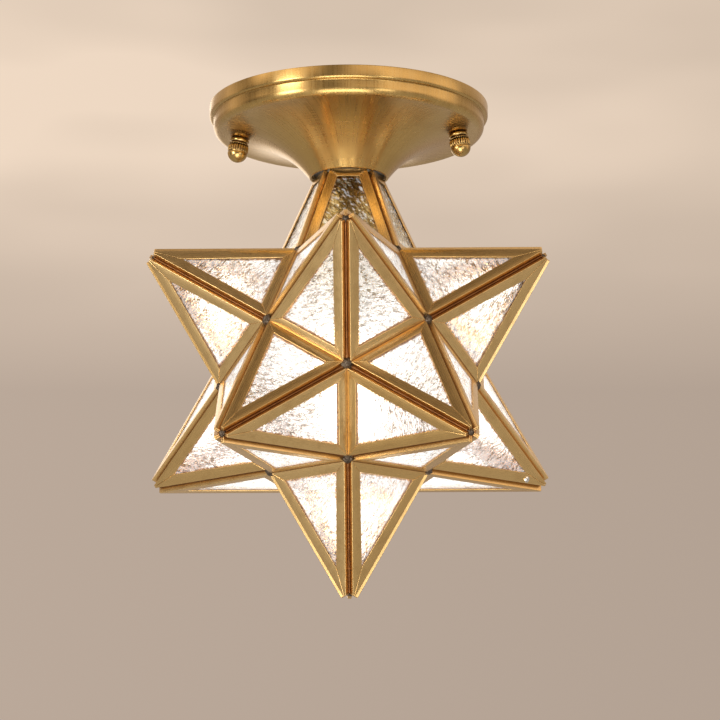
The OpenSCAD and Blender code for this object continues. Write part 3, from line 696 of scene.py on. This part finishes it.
# one panel's frame: a folded strip along each side, mitred at the corners
def cameFrame(name, shape):
    section = channelSection()
    gap = channel["mitreGap"]
    bm = bmesh.new()
    came = bm.verts.layers.float_vector.new("came")
    for number, line in enumerate(stripLines(shape)):
        places = [[Vector(corner(u)) for u, z in section] for corner in line]
        direction = (places[-1][0] - places[0][0]).normalized()
        for loop, sign in ((places[0], 1), (places[-1], -1)):
            for n, at in enumerate(loop):
                if abs(at.x) > gap:
                    loop[n] = at + direction * sign * gap
        stations = []
        for loop in places:
            verts = []
            for at, (u, z) in zip(loop, section):
                vert = bm.verts.new((at.x, at.y, z))
                vert[came] = (at.dot(direction) + channel["brushShift"] * number, u, z)
                verts.append(vert)
            stations.append(verts)
        for first, last in zip(stations, stations[1:]):
            for n in range(len(section)):
                m = (n + 1) % len(section)
                bm.faces.new((first[m], first[n], last[n], last[m]))
        bm.faces.new(stations[0])
        bm.faces.new(list(reversed(stations[-1])))
        bmesh.ops.remove_doubles(bm, verts=[v for verts in stations for v in verts], dist=tiny)
    bmesh.ops.dissolve_degenerate(bm, edges=bm.edges, dist=tiny)
    bmesh.ops.recalc_face_normals(bm, faces=bm.faces)
    sharp = [e for e in bm.edges if e.calc_face_angle(0) > math.radians(channel["sharp"])]
    size = channel["edgeRound"]
    bmesh.ops.bevel(bm, geom=sharp, offset=size, segments=2, profile=0.5, affect="EDGES", clamp_overlap=True)
    mesh = finishMesh(name, bm)
    mesh.shade_smooth()
    return mesh


# how far a place on a pane lies inside the edge of its window
def windowDepth(shape, x, y):
    flange = channel["flange"]
    side = (sideX(shape, flange, y) - abs(x)) / math.hypot(1, shape["narrow"])
    depths = [side, y - channel["valleyGap"] - flange]
    if shape["top"]:
        depths.append(shape["top"] - flange - y)
    return min(depths)


# one pane: a fine grid outside, where the ripples go, and a plain face inside
def paneSheet(name, shape):
    inset = glass["inset"]
    low = channel["valleyGap"] + inset
    high = shape["top"] - inset if shape["top"] else sideY(shape, inset, glass["tipHalf"])
    top = -channel["wall"] - glass["faceGap"]
    rows, columns = glass["rows"], glass["columns"]
    bm = bmesh.new()
    sheet = bm.verts.layers.float_vector.new("sheet")
    free = bm.verts.layers.float.new("free")
    rim = bm.verts.layers.float.new("rim")
    grid = []
    for r in range(rows + 1):
        y = low + (high - low) * r / rows
        half = sideX(shape, inset, y)
        line = []
        for c in range(columns + 1):
            vert = bm.verts.new((half * (2 * c / columns - 1), y, top))
            vert[free] = 1.0 if 0 < r < rows and 0 < c < columns else 0.0
            vert[rim] = windowDepth(shape, vert.co.x, y)
            line.append(vert)
        grid.append(line)
    for a, b in zip(grid, grid[1:]):
        for c in range(columns):
            bm.faces.new((a[c], a[c + 1], b[c + 1], b[c]))
    right = [line[-1] for line in grid[1:]]
    left = [line[0] for line in grid[-2:0:-1]]
    around = grid[0] + right + grid[-1][-2::-1] + left
    under = [bm.verts.new((v.co.x, v.co.y, top - glass["thickness"])) for v in around]
    for n in range(len(around)):
        m = (n + 1) % len(around)
        bm.faces.new((around[m], around[n], under[n], under[m]))
    bm.faces.new(list(reversed(under)))
    for vert in bm.verts:
        vert[sheet] = vert.co
    for vert in under:
        vert[rim] = 1.0  # only the outer face shows the painted border
    mesh = finishMesh(name, bm)
    for polygon in mesh.polygons:
        polygon.use_smooth = len(polygon.vertices) == 4 and abs(polygon.normal.z) > 0.9
    return mesh


# Geometry Nodes trees


def socketId(tree, name):
    return next(s.identifier for s in tree.interface.items_tree if s.name == name and s.in_out == "INPUT")


def named(tree, name, kind="FLOAT"):
    return addNode(tree, "GeometryNodeInputNamedAttribute", {"Name": name}, data_type=kind).outputs[0]


# what a node that takes one geometry makes of it
def passed(tree, kind, geometry, inputs=None, **settings):
    made = addNode(tree, "GeometryNode" + kind, inputs, **settings)
    tree.links.new(geometry, made.inputs[0])
    return made.outputs[0]


# moves each point along its normal
def pushed(tree, geometry, amount):
    normal = tree.nodes.new("GeometryNodeInputNormal").outputs[0]
    offset = vectorNode(tree, "SCALE", {0: normal, "Scale": amount})
    return passed(tree, "SetPosition", geometry, {"Offset": offset})


def endTree(tree, into, out, geometry):
    feed(tree, out, {"Geometry": passed(tree, "SetMaterial", geometry, {"Material": into["Finish"]})})
    return tree


# turns one panel into the ring of panels of a spike, and ripples its panes
def spikeTree():
    inputs = {
        "Geometry": "Geometry",
        "Count": 5,
        "Left Out": -1,
        "Seed": 0,
        "Ripple": 0.0,
        "Ripple Size": 0.002,
        "Stretch": 0.5,
        "Turns": 9.0,
        "Finish": "Material",
    }
    tree, into, out = newGroup("panelRing", "GeometryNodeTree", inputs, {"Geometry": "Geometry"})
    number = tree.nodes.new("GeometryNodeInputIndex").outputs[0]
    points = addNode(tree, "GeometryNodePoints", {"Count": into["Count"]}).outputs[0]
    ring = passed(tree, "InstanceOnPoints", points, {"Instance": into["Geometry"]})
    angle = times(tree, mathNode(tree, "DIVIDE", number, into["Count"]), 2 * math.pi)
    ring = passed(tree, "RotateInstances", ring, {"Rotation": joinAxes(tree, Z=angle), "Local Space": False})
    draw = addNode(tree, "FunctionNodeRandomValue", {"Seed": into["Seed"]}, data_type="FLOAT")
    tone = {"Name": "panelTone", "Value": next(s for s in draw.outputs if s.enabled)}
    ring = passed(tree, "StoreNamedAttribute", ring, tone, data_type="FLOAT", domain="INSTANCE")
    same = addNode(tree, "FunctionNodeCompare", data_type="INT", operation="EQUAL")
    for socket, value in zip([s for s in same.inputs if s.enabled], (number, into["Left Out"])):
        tree.links.new(value, socket)
    ring = passed(tree, "DeleteGeometry", ring, {"Selection": same.outputs[0]}, domain="INSTANCE")
    real = passed(tree, "RealizeInstances", ring)
    # the ripples: noise in the pane's own plane, moved by a random amount in each panel
    along = sheetVector(tree, into, named(tree, "sheet", "FLOAT_VECTOR"), named(tree, "panelTone"))
    frequency = mathNode(tree, "DIVIDE", 1.0, into["Ripple Size"])
    waves = waveNode(tree, along, frequency, sheetWaves["distortion"])
    depth = times(tree, times(tree, waves, named(tree, "free")), into["Ripple"])
    return endTree(tree, into, out, pushed(tree, real, times(tree, depth, -1.0)))


# runs a tree on a mesh and returns what it makes as a plain mesh
def grow(name, mesh, tree, values):
    source = newObject(name + "Source", mesh)
    modifier = source.modifiers.new("grow", "NODES")
    modifier.node_group = tree
    for label, value in values.items():
        modifier[socketId(tree, label)] = value
    bpy.context.view_layer.update()
    depsgraph = bpy.context.evaluated_depsgraph_get()
    made = bpy.data.meshes.new_from_object(source.evaluated_get(depsgraph), depsgraph=depsgraph)
    source.modifiers.remove(modifier)
    bpy.data.objects.remove(source)
    made.name = name
    return made


def setFinish(mesh, key):
    mesh.materials.clear()
    mesh.materials.append(finish[key])


# puts a finished mesh into the scene, on its body, in place of its CAD nodes
def addPiece(name, mesh, body, nodes):
    piece = newObject(name, mesh)
    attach(piece, body)
    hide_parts(*nodes)
    return piece


# keeps the flats flat between their rounded edges
def smoothFlats(piece):
    modifier = piece.modifiers.new("flats", "WEIGHTED_NORMAL")
    modifier.keep_sharp = True
    modifier.weight = 100


panelRing = spikeTree()


# the frames and panes of one spike, or of the door, from a first frame and a first pane
def layPanels(name, body, shapes, place, inputs, nodes):
    ripples = {
        "Ripple": glass["ripple"],
        "Ripple Size": glass["rippleSize"],
        "Stretch": glass["rippleStretch"],
        "Turns": glass["turns"],
    }
    flat = {"Finish": finish["channel"], "Ripple": 0.0}
    came = grow("came_" + name, shapes[0].copy(), panelRing, {**inputs, **flat})
    came.transform(place)
    smoothFlats(addPiece("came_" + name, came, body, [nodes[0]]))
    pane = grow("pane_" + name, shapes[1].copy(), panelRing, {**inputs, **ripples, "Finish": finish["glass"]})
    pane.transform(place)
    addPiece("pane_" + name, pane, body, [nodes[1]])


def makeSpikes():
    sides = star["sides"]
    names = ["neck"] + [f"upper_{n}" for n in range(1, sides + 1)]
    names += [f"lower_{n}" for n in range(1, sides + 1)] + ["bottom"]
    triangleMeshes = (cameFrame("triangleFrame", triangle), paneSheet("trianglePane", triangle))
    neckMeshes = (cameFrame("neckFrame", trapezoid), paneSheet("neckPane", trapezoid))
    for meshes, lean in ((triangleMeshes, panelLean), (neckMeshes, neckLean)):
        for mesh in meshes:
            mesh.transform(panelMatrix(lean))
    for i, name in enumerate(names):
        leftOut = star["doorPanel"] if i == star["doorSpike"] else -1
        inputs = {"Count": sides, "Left Out": leftOut, "Seed": glass["seed"] + i}
        nodes = ("frame_" + name, "glass_" + name)
        layPanels(name, "root", neckMeshes if i == 0 else triangleMeshes, spikeMatrix(i), inputs, nodes)
    # the door is one panel by itself, on its own body
    place = spikeMatrix(star["doorSpike"]) @ rotated(step * star["doorPanel"])
    one = {"Count": 1, "Left Out": -1, "Seed": glass["doorSeed"]}
    layPanels("door", "door", triangleMeshes, place, one, ("door_frame", "door_glass"))
    print("spikes made:", len(names), "and the door")


makeSpikes()


# solder, flowed into the valleys and the ridges by hand

bead = {
    "blob": 0.0027,  # half width where three spikes meet
    "blobFlat": 0.85,
    "blobSink": 0.0020,
    "arm": 0.0011,  # the run is thick where it leaves a blob
    "armLength": 0.0060,
    "armBend": (0.45, 0.75),  # how far along the arm, and how thick there
    "ridge": 0.00045,
    "ridgeRise": 0.00050,  # above the bottom of the groove
    "ridgeStart": 0.0012,
    "ridgeStop": 0.0003,
    "tip": 0.0019,
    "doorTip": 0.0016,  # the door isn't soldered, so its tip's bead keeps clear of it
    "tipDrop": 0.0026,  # below the height where the frames are cut
    "valley": 0.00042,
    "valleySink": 0.00034,
    "spacing": 0.0008,
    "sides": 10,
    "fineness": 5,
    "lump": 0.35,
    "lumpSize": 0.0016,
    "seed": 5,
}


# how far the solder swells or shrinks at each place, about 0
def lumpSwing(tree, into):
    place = tree.nodes.new("GeometryNodeInputPosition").outputs[0]
    moved = vectorNode(tree, "ADD", {0: place, 1: times(tree, into["Seed"], 0.01)})
    noise = noiseNode(tree, moved, mathNode(tree, "DIVIDE", 1.0, into["Lump Size"]))
    return times(tree, plus(tree, noise, -0.5), into["Lump"])


def solderTree(name, inputs):
    common = {"Geometry": "Geometry", "Lump": 0.3, "Lump Size": 0.0016, "Seed": 0, "Finish": "Material"}
    return newGroup(name, "GeometryNodeTree", {**common, **inputs}, {"Geometry": "Geometry"})


# lays a lumpy run of solder along each edge of a wire mesh
def runTree():
    tree, into, out = solderTree("solderRun", {"Spacing": 0.001})
    lines = passed(tree, "MeshToCurve", into["Geometry"])
    even = passed(tree, "ResampleCurve", lines, {"Length": into["Spacing"]}, mode="LENGTH")
    swing = plus(tree, times(tree, lumpSwing(tree, into), 3.0), 1.0)
    sized = passed(tree, "SetCurveRadius", even, {"Radius": times(tree, named(tree, "thick"), swing)})
    ring = {"Resolution": bead["sides"], "Radius": 1.0}
    ring = addNode(tree, "GeometryNodeCurvePrimitiveCircle", ring, mode="RADIUS").outputs[0]
    reach = tree.nodes.new("GeometryNodeInputRadius").outputs[0]
    tube = passed(tree, "CurveToMesh", sized, {"Profile Curve": ring, "Fill Caps": True, "Scale": reach})
    return endTree(tree, into, out, passed(tree, "RealizeInstances", tube))


# sets a lumpy blob of solder on each point of a mesh, flattened along its way out
def blobTree():
    tree, into, out = solderTree("solderBlob", {"Flat": 0.8})
    shape = {"Radius": 1.0, "Subdivisions": bead["fineness"]}
    ball = addNode(tree, "GeometryNodeMeshIcoSphere", shape).outputs[0]
    thick = named(tree, "thick")
    way = {"Vector": named(tree, "away", "FLOAT_VECTOR")}
    lie = addNode(tree, "FunctionNodeAlignRotationToVector", way, axis="Z").outputs[0]
    size = joinAxes(tree, X=thick, Y=thick, Z=times(tree, thick, into["Flat"]))
    spots = passed(tree, "MeshToPoints", into["Geometry"])
    balls = passed(tree, "InstanceOnPoints", spots, {"Instance": ball, "Rotation": lie, "Scale": size})
    real = passed(tree, "RealizeInstances", balls)
    swing = times(tree, lumpSwing(tree, into), bead["blob"] * 2)
    return endTree(tree, into, out, pushed(tree, real, swing))


# a wire mesh of paths, each a list of (place, thickness), or of single points with their way out
def wireMesh(name, paths, ways=None):
    mesh = bpy.data.meshes.new(name)
    points, edges, thick = [], [], []
    for path in paths:
        for n, (place, size) in enumerate(path):
            if n:
                edges.append((len(points) - 1, len(points)))
            points.append(place)
            thick.append(size)
    mesh.from_pydata(points, edges, [])
    mesh.attributes.new("thick", "FLOAT", "POINT").data.foreach_set("value", thick)
    if ways:
        flat = [v for way in ways for v in way]
        mesh.attributes.new("away", "FLOAT_VECTOR", "POINT").data.foreach_set("vector", flat)
    return mesh


# the soldered ridge between panel k and its neighbour, raised a little from the groove's bottom
def ridgePath(i, k):
    lean, shape, half = (panelLean, triangle, foldHalf) if i else (neckLean, trapezoid, neckFoldHalf)
    first = panelPlace(i, k, lean)
    following = panelPlace(i, k + 1, lean)
    foot = first @ Vector((star["edge"] / 2, 0, 0))
    top = shape["top"] or triangleTop
    head = first @ Vector((shape["half"] - shape["narrow"] * top, top, 0))
    if (following @ Vector((-star["edge"] / 2, 0, 0)) - foot).length > samePlace:
        following = panelPlace(i, k - 1, lean)
    inward = -(first.to_3x3().col[2] + following.to_3x3().col[2]).normalized()
    bottom = shape["inset"] * math.cos(half) + channelDepth * math.sin(half)
    along = (head - foot).normalized()
    start = foot + inward * (bottom - bead["ridgeRise"])
    bend, thin = bead["armBend"]
    stops = [
        (bead["ridgeStart"], bead["arm"]),
        (bead["armLength"] * bend, bead["arm"] * thin),
        (bead["armLength"], bead["ridge"]),
        ((head - foot).length - bead["ridgeStop"], bead["ridge"]),
    ]
    return [(start + along * far, size) for far, size in stops]


def makeSolder():
    sides = star["sides"]
    middle = Vector((0, 0, starZ))
    corners, valleys, ridges = [], [], []
    doorSides = (star["doorPanel"], (star["doorPanel"] - 1) % sides)
    hinge = spikeMatrix(star["doorSpike"]) @ rotated(step * star["doorPanel"]) @ Vector((baseApothem, 0, 0))
    known = [hinge]  # the hinge's valley has no solder
    for i in range(2 * sides + 2):
        for k in range(sides):
            side = panelPlace(i, k, panelLean)
            ends = [side @ Vector((x * star["edge"] / 2, 0, 0)) for x in (-1, 1)]
            for end in ends:
                if all((end - other).length > samePlace for other in corners):
                    corners.append(end)
            centre = (ends[0] + ends[1]) / 2
            if all((centre - other).length > samePlace for other in known):
                known.append(centre)
                sink = (middle - centre).normalized() * bead["valleySink"]
                valleys.append([(end + sink, bead["valley"]) for end in ends])
            if i != star["doorSpike"] or k not in doorSides:
                ridges.append(ridgePath(i, k))
    height = triangleTop * math.cos(panelLean) - bead["tipDrop"]
    peaks = []
    for i in range(1, 2 * sides + 2):
        size = bead["doorTip"] if i == star["doorSpike"] else bead["tip"]
        peaks.append([(spikeMatrix(i) @ Vector((0, 0, height)), size)])
    ways = [(corner - middle).normalized() for corner in corners]
    spots = [[(corner - way * bead["blobSink"], bead["blob"])] for corner, way in zip(corners, ways)]
    peakWays = [(peak[0][0] - middle).normalized() for peak in peaks]
    run, blob = runTree(), blobTree()
    line = {"Spacing": bead["spacing"], "Finish": finish["seam"]}
    flat = {"Flat": bead["blobFlat"], "Finish": finish["solder"]}
    for name, wires, tree, inputs, node in (
        ("solderSeams", wireMesh("valleyLines", valleys), run, line, "solder_valleys"),
        ("solderBlobs", wireMesh("cornerPoints", spots, ways), blob, flat, "solder_valleys"),
        ("solderBeads", wireMesh("tipPoints", peaks, peakWays), blob, {**flat, "Flat": 1.0}, "solder_tips"),
        ("solderGrooves", wireMesh("ridgeLines", ridges), run, line, "solder_ridges"),
    ):
        common = {"Lump Size": bead["lumpSize"], "Lump": bead["lump"], "Seed": bead["seed"]}
        mesh = grow(name, wires, tree, {**common, **inputs})
        mesh.shade_smooth()
        addPiece(name, mesh, "root", [node])
    print("solder made:", len(corners), "corners,", len(valleys), "valleys,", len(ridges), "ridges")


makeSolder()


# the canopy and the fittings

canopy = {
    "radius": 0.070,
    "wall": 0.0009,
    "rimHeight": 0.0066,
    "rimRound": 0.0015,
    "bandHeight": 0.0076,
    "ledge": 0.002,
    "bandRound": 0.0038,
    "flare": 0.0545,
    "edge": 0.0004,
    "segments": 256,
    "sharp": 38,  # shading stays sharp where the surface folds more than this
}


def shade(mesh, sharp):
    mesh.shade_smooth()
    mesh.set_sharp_from_angle(angle=math.radians(sharp))
    return mesh


# turns a closed profile of (radius, height) about Z; a stretch of it on the axis makes no face
def lathe(name, profile, segments):
    bm = bmesh.new()
    rings = []
    for n in range(segments):
        angle = 2 * math.pi * n / segments
        cos, sin = math.cos(angle), math.sin(angle)
        rings.append([bm.verts.new((r * cos, r * sin, z)) for r, z in profile])
    for n in range(segments):
        a, b = rings[n], rings[(n + 1) % segments]
        for k in range(len(profile)):
            m = (k + 1) % len(profile)
            if profile[k][0] + profile[m][0] > tiny:
                bm.faces.new((a[k], b[k], b[m], a[m]))
    bmesh.ops.remove_doubles(bm, verts=bm.verts, dist=tiny)
    bmesh.ops.dissolve_degenerate(bm, edges=bm.edges, dist=tiny / 10)
    bmesh.ops.recalc_face_normals(bm, faces=bm.faces)
    return shade(finishMesh(name, bm), canopy["sharp"])


def arc(cx, cz, radius, start, end, count):
    turn = [math.radians(start + (end - start) * n / count) for n in range(count + 1)]
    return [(cx + radius * math.cos(a), cz + radius * math.sin(a)) for a in turn]


# rounds the sharp edges of a lathed shape at one height
def softenRim(mesh, height, size):
    bm = bmesh.new()
    bm.from_mesh(mesh)
    rim = [e for e in bm.edges if all(abs(v.co.z - height) < size / 20 for v in e.verts)]
    rim = [e for e in rim if e.calc_face_angle(0) > math.radians(channel["sharp"])]
    bmesh.ops.bevel(bm, geom=rim, offset=size, segments=3, profile=0.5, affect="EDGES", clamp_overlap=True)
    bm.to_mesh(mesh)
    bm.free()
    return shade(mesh, canopy["sharp"])


def makeCanopy():
    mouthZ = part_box("canopy")[0].z
    outer, t, flare, edge = (canopy[key] for key in ("radius", "wall", "flare", "edge"))
    rim, band, rimZ, bandZ = (canopy[key] for key in ("rimRound", "bandRound", "rimHeight", "bandHeight"))
    bandR = outer - canopy["ledge"]
    dishZ = -rimZ - bandZ
    dishR = bandR - band
    flareZ = dishZ - flare
    endAngle = math.degrees(math.asin((mouthZ - flareZ) / flare))
    lip = math.degrees(math.asin((mouthZ - flareZ) / (flare + t)))
    outside = arc(outer - edge, -edge, edge, 90, 0, 3)
    outside += arc(outer - rim, rim - rimZ, rim, 0, -90, 8)
    outside += arc(bandR + edge, -rimZ - edge, edge, 90, 180, 3)
    outside += arc(dishR, dishZ + band, band, 0, -90, 12)
    outside += arc(dishR, flareZ, flare, 90, 180 - endAngle, 70)
    inside = arc(dishR, flareZ, flare + t, 180 - lip, 90, 70)
    inside += arc(dishR, dishZ + band, band - t, -90, 0, 8)
    inside += [(bandR - t, -rimZ + t), (outer - t, -rimZ + t), (outer - t, 0)]
    mesh = softenRim(lathe("canopy", outside + inside, canopy["segments"]), mouthZ, edge / 2)
    setFinish(mesh, "canopy")
    addPiece("canopyShell", mesh, "root", ["canopy"])
    print("canopy made")


makeCanopy()


# the knurled ball nuts that hold the canopy up
nut = {
    "reach": 0.055,  # from the axis to each stud
    "gap": 0.00035,
    "bore": 0.00215,
    "boreDepth": 0.007,
    "ball": 0.0051,
    "ballZ": -0.0074,
    "barrel": 0.0047,
    # from the seat's edge down to the ball: the collar, the beads' seat, the barrel and its foot
    "outline": [
        (0.0041, -0.00035),
        (0.0046, -0.0006),
        (0.0048, -0.0011),
        (0.0047, -0.0017),
        (0.0042, -0.0021),
        (0.0037, -0.0023),
        (0.0036, -0.0026),
        (0.0041, -0.0028),
        (0.0044, -0.0031),
        (0.0041, -0.0034),
        (0.0037, -0.0036),
        (0.0042, -0.0038),
        (0.0047, -0.0042),
        (0.0047, -0.0069),
        (0.0044, -0.0072),
        (0.0044, -0.0074),
        (0.0048, -0.0076),
    ],
    "beads": 30,
    "beadRadius": 0.00044,
    "beadReach": 0.0045,
    "beadZ": -0.0031,
    "flutes": 24,
    "fluteRadius": 0.00046,
    "fluteZ": (-0.0039, -0.0071),
    "grooves": [(-0.0071, -0.0037), (-0.0036, -0.0024)],  # heights between which the brass gets painted shade
    "grooveRise": 0.00012,  # out to this far above the barrel
    "seed": 1,
    "sharp": 50,
}


# puts several meshes into one
def joinMeshes(name, meshes):
    bm = bmesh.new()
    for mesh in meshes:
        bm.from_mesh(mesh)
    return shade(finishMesh(name, bm), nut["sharp"])


def nutBead():
    bm = bmesh.new()
    bmesh.ops.create_icosphere(bm, subdivisions=2, radius=nut["beadRadius"])
    bmesh.ops.translate(bm, verts=bm.verts, vec=(nut["beadReach"], 0, nut["beadZ"]))
    return finishMesh("bead", bm)


# one raised flute of the barrel, an oval rod
def nutFlute():
    r, (high, low) = nut["fluteRadius"], nut["fluteZ"]
    upper = [(0, high), (r * 0.8, high - r * 0.4), (r, high - r)]
    lower = [(r, low + r), (r * 0.8, low + r * 0.4), (0, low)]
    flute = lathe("flute", upper + lower, 8)
    flute.transform(Matrix.Translation((nut["barrel"], 0, 0)))
    return flute


def makeNuts():
    bore, deep = nut["bore"], -nut["boreDepth"]
    profile = [(bore, -nut["gap"])] + nut["outline"] + arc(0, nut["ballZ"], nut["ball"], -8, -90, 20)
    turned = lathe("nutBody", profile + [(0, deep), (bore, deep)], 96)
    plain = {"Left Out": -1, "Seed": nut["seed"], "Finish": finish["nut"], "Ripple": 0.0}
    beads = grow("nutBeads", nutBead(), panelRing, {**plain, "Count": nut["beads"]})
    flutes = grow("nutFlutes", nutFlute(), panelRing, {**plain, "Count": nut["flutes"]})
    whole = joinMeshes("capNut", [turned, beads, flutes])
    # painted shade down in the nut's grooves, close in to the barrel
    reach = nut["barrel"] + nut["grooveRise"]
    dark = []
    for vert in whole.vertices:
        inside = any(low < vert.co.z < high for low, high in nut["grooves"])
        dark.append(1.0 if inside and math.hypot(vert.co.x, vert.co.y) < reach else 0.0)
    whole.attributes.new("groove", "FLOAT", "POINT").data.foreach_set("value", dark)
    # each nut stands square to the dish where its stud comes through
    flare = canopy["flare"]
    dishR = canopy["radius"] - canopy["ledge"] - canopy["bandRound"]
    tilt = math.asin((dishR - nut["reach"]) / flare)
    seatZ = -canopy["rimHeight"] - canopy["bandHeight"] - flare * (1 - math.cos(tilt))
    for side, word in ((-1, "left"), (1, "right")):
        mesh = whole.copy()
        mesh.transform(Matrix.Translation((side * nut["reach"], 0, seatZ)) @ rotated(-side * tilt, "Y"))
        setFinish(mesh, "nut")
        addPiece("ball_nut_" + word, mesh, "cap_nut_" + word, ["cap_nut_" + word])
    print("cap nuts made")


makeNuts()


# the CAD nodes whose shape is right as it is, under their finishes
dressed = {
    "zinc": "flare_plate mounting_strap stud_left stud_right stud_lock_nuts stem_washer stem_lock_nut "
    "neck_plate stem_bottom_nut hinge_pin",
    "hinge": "lampholder_shell lampholder_contact door_knuckle fixed_knuckles door_catch_block",
    "cream": "lampholder_cap lampholder_body",
    "white": "bulb_collar bulb_led_board",
    "bulbMetal": "bulb_cap bulb_contact",
    "black": "bulb_insulator",
    "dome": "bulb_dome",
    "stem": "stem",
    "nut": "ground_screw",
    "screw": "door_screw",
}
for key, names in dressed.items():
    for name in names.split():
        setFinish(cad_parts[name].data, key)


# floor, light and background

studio = {
    "floorSize": 12,
    "floorDrop": 1.4,
    "floorColour": (0.80, 0.745, 0.68),
    "floorCloud": (0.84, 0.79, 0.73),
    "floorCloudScale": 3.0,
    "floorRough": 0.9,
    "skyTop": (0.745, 0.60, 0.475),
    "skyBottom": (0.475, 0.38, 0.31),
    "horizon": (0.235, 0.29),
    "clouds": (9, 9, 34),
    "cloudLevel": (0.90, 1.12),
    "acrossReach": (-0.17, 0.01),  # the backdrop darkens from left to right
    "acrossLevel": (1.04, 0.95),
    "roomScale": 1.7,
    "roomDark": 0.3,  # what the metal sees behind the camera
    "roomLight": 2.5,
    "asideReach": (0.0, 0.6),  # and it is lighter to the sides
    "asideLevel": (0.55, 1.1),
    "behindReach": (0.5, 0.1),
    "fill": 0.55,
    "fillColour": (1.0, 0.97, 0.93),
    "lampColour": (1, 0.96, 0.9),
    "lampTarget": (0, 0, -0.1),
}
lamps = {
    "keyLight": {"place": (-1.1, -1.15, -0.2), "size": (0.5, 0.8), "power": 13},
    "sideLight": {"place": (0.9, -1.3, -0.6), "size": (0.4, 0.7), "power": 2.5},
    "underLight": {"place": (0.0, -0.7, -0.75), "size": (0.6, 0.6), "power": 5},
    "backLight": {"place": (-0.4, 1.4, 0.2), "size": (0.8, 0.8), "power": 2.5},
}


def makeFloor():
    place = (0, 0, cadBox[0].z - studio["floorDrop"])
    bpy.ops.mesh.primitive_plane_add(size=studio["floorSize"], location=place)
    floor = bpy.context.object
    floor.name = "floor"
    material, tree, shader = newMaterial("floorPaint")
    cloud = noiseNode(tree, coordinates(tree), studio["floorCloudScale"])
    tint = mixColour(tree, cloud, studio["floorColour"], studio["floorCloud"])
    feed(tree, shader, {"Base Color": tint, "Roughness": studio["floorRough"]})
    floor.data.materials.append(material)


# the value where amount is 1, and 1 where it is 0
def faded(tree, value, amount):
    return plus(tree, times(tree, plus(tree, value, -1.0), amount), 1.0)


# a pale backdrop for the camera, glass and metal, and a plainer fill for everything else
def makeSky():
    world = bpy.data.worlds.new("studio")
    bpy.context.scene.world = world
    world.use_nodes = True
    tree = world.node_tree
    tree.nodes.clear()
    way = coordinates(tree, "Generated")
    parts = splitAxes(tree, way)
    height = mapRange(tree, parts["Z"], *studio["horizon"], 0.0, 1.0)
    cloud = noiseNode(tree, stretched(tree, way, studio["clouds"]), 1.0, Detail=2.0)
    drift = faded(tree, mapRange(tree, cloud, 0.35, 0.65, *studio["cloudLevel"]), height)
    across = mapRange(tree, parts["X"], *studio["acrossReach"], *studio["acrossLevel"])
    # the room behind the camera, which the metal mirrors
    wide = noiseNode(tree, way, studio["roomScale"], Detail=1.0)
    room = mapRange(tree, wide, 0.4, 0.6, studio["roomDark"], studio["roomLight"])
    aside = mathNode(tree, "ABSOLUTE", parts["X"])
    aside = mapRange(tree, aside, *studio["asideReach"], *studio["asideLevel"])
    behind = mapRange(tree, parts["Y"], *studio["behindReach"], 0.0, 1.0)
    room = faded(tree, times(tree, room, aside), behind)
    level = times(tree, times(tree, drift, across), room)
    seen = mixColour(tree, height, studio["skyBottom"], studio["skyTop"])
    seen = vectorNode(tree, "SCALE", {0: seen, "Scale": level})
    rays = tree.nodes.new("ShaderNodeLightPath").outputs
    direct = mathNode(tree, "MAXIMUM", rays["Is Camera Ray"], rays["Is Glossy Ray"])
    direct = mathNode(tree, "MAXIMUM", direct, rays["Is Transmission Ray"])
    backdrop = addNode(tree, "ShaderNodeBackground", {"Color": seen, "Strength": 1.0}).outputs[0]
    fill = {"Color": studio["fillColour"], "Strength": studio["fill"]}
    fill = addNode(tree, "ShaderNodeBackground", fill).outputs[0]
    mixed = addNode(tree, "ShaderNodeMixShader", {0: direct, 1: fill, 2: backdrop}).outputs[0]
    addNode(tree, "ShaderNodeOutputWorld", {"Surface": mixed})


def makeLights():
    for name, lamp in lamps.items():
        data = bpy.data.lights.new(name, "AREA")
        data.energy = lamp["power"]
        data.color = studio["lampColour"]
        data.shape = "RECTANGLE"
        data.size, data.size_y = lamp["size"]
        light = newObject(name, data)
        light.location = lamp["place"]
        light.rotation_mode = "QUATERNION"
        way = Vector(studio["lampTarget"]) - Vector(lamp["place"])
        light.rotation_quaternion = way.to_track_quat("-Z", "Y")


makeFloor()
makeSky()
makeLights()
bpy.context.scene.view_settings.view_transform = "Standard"

bpy.context.view_layer.update()
print("studio made")
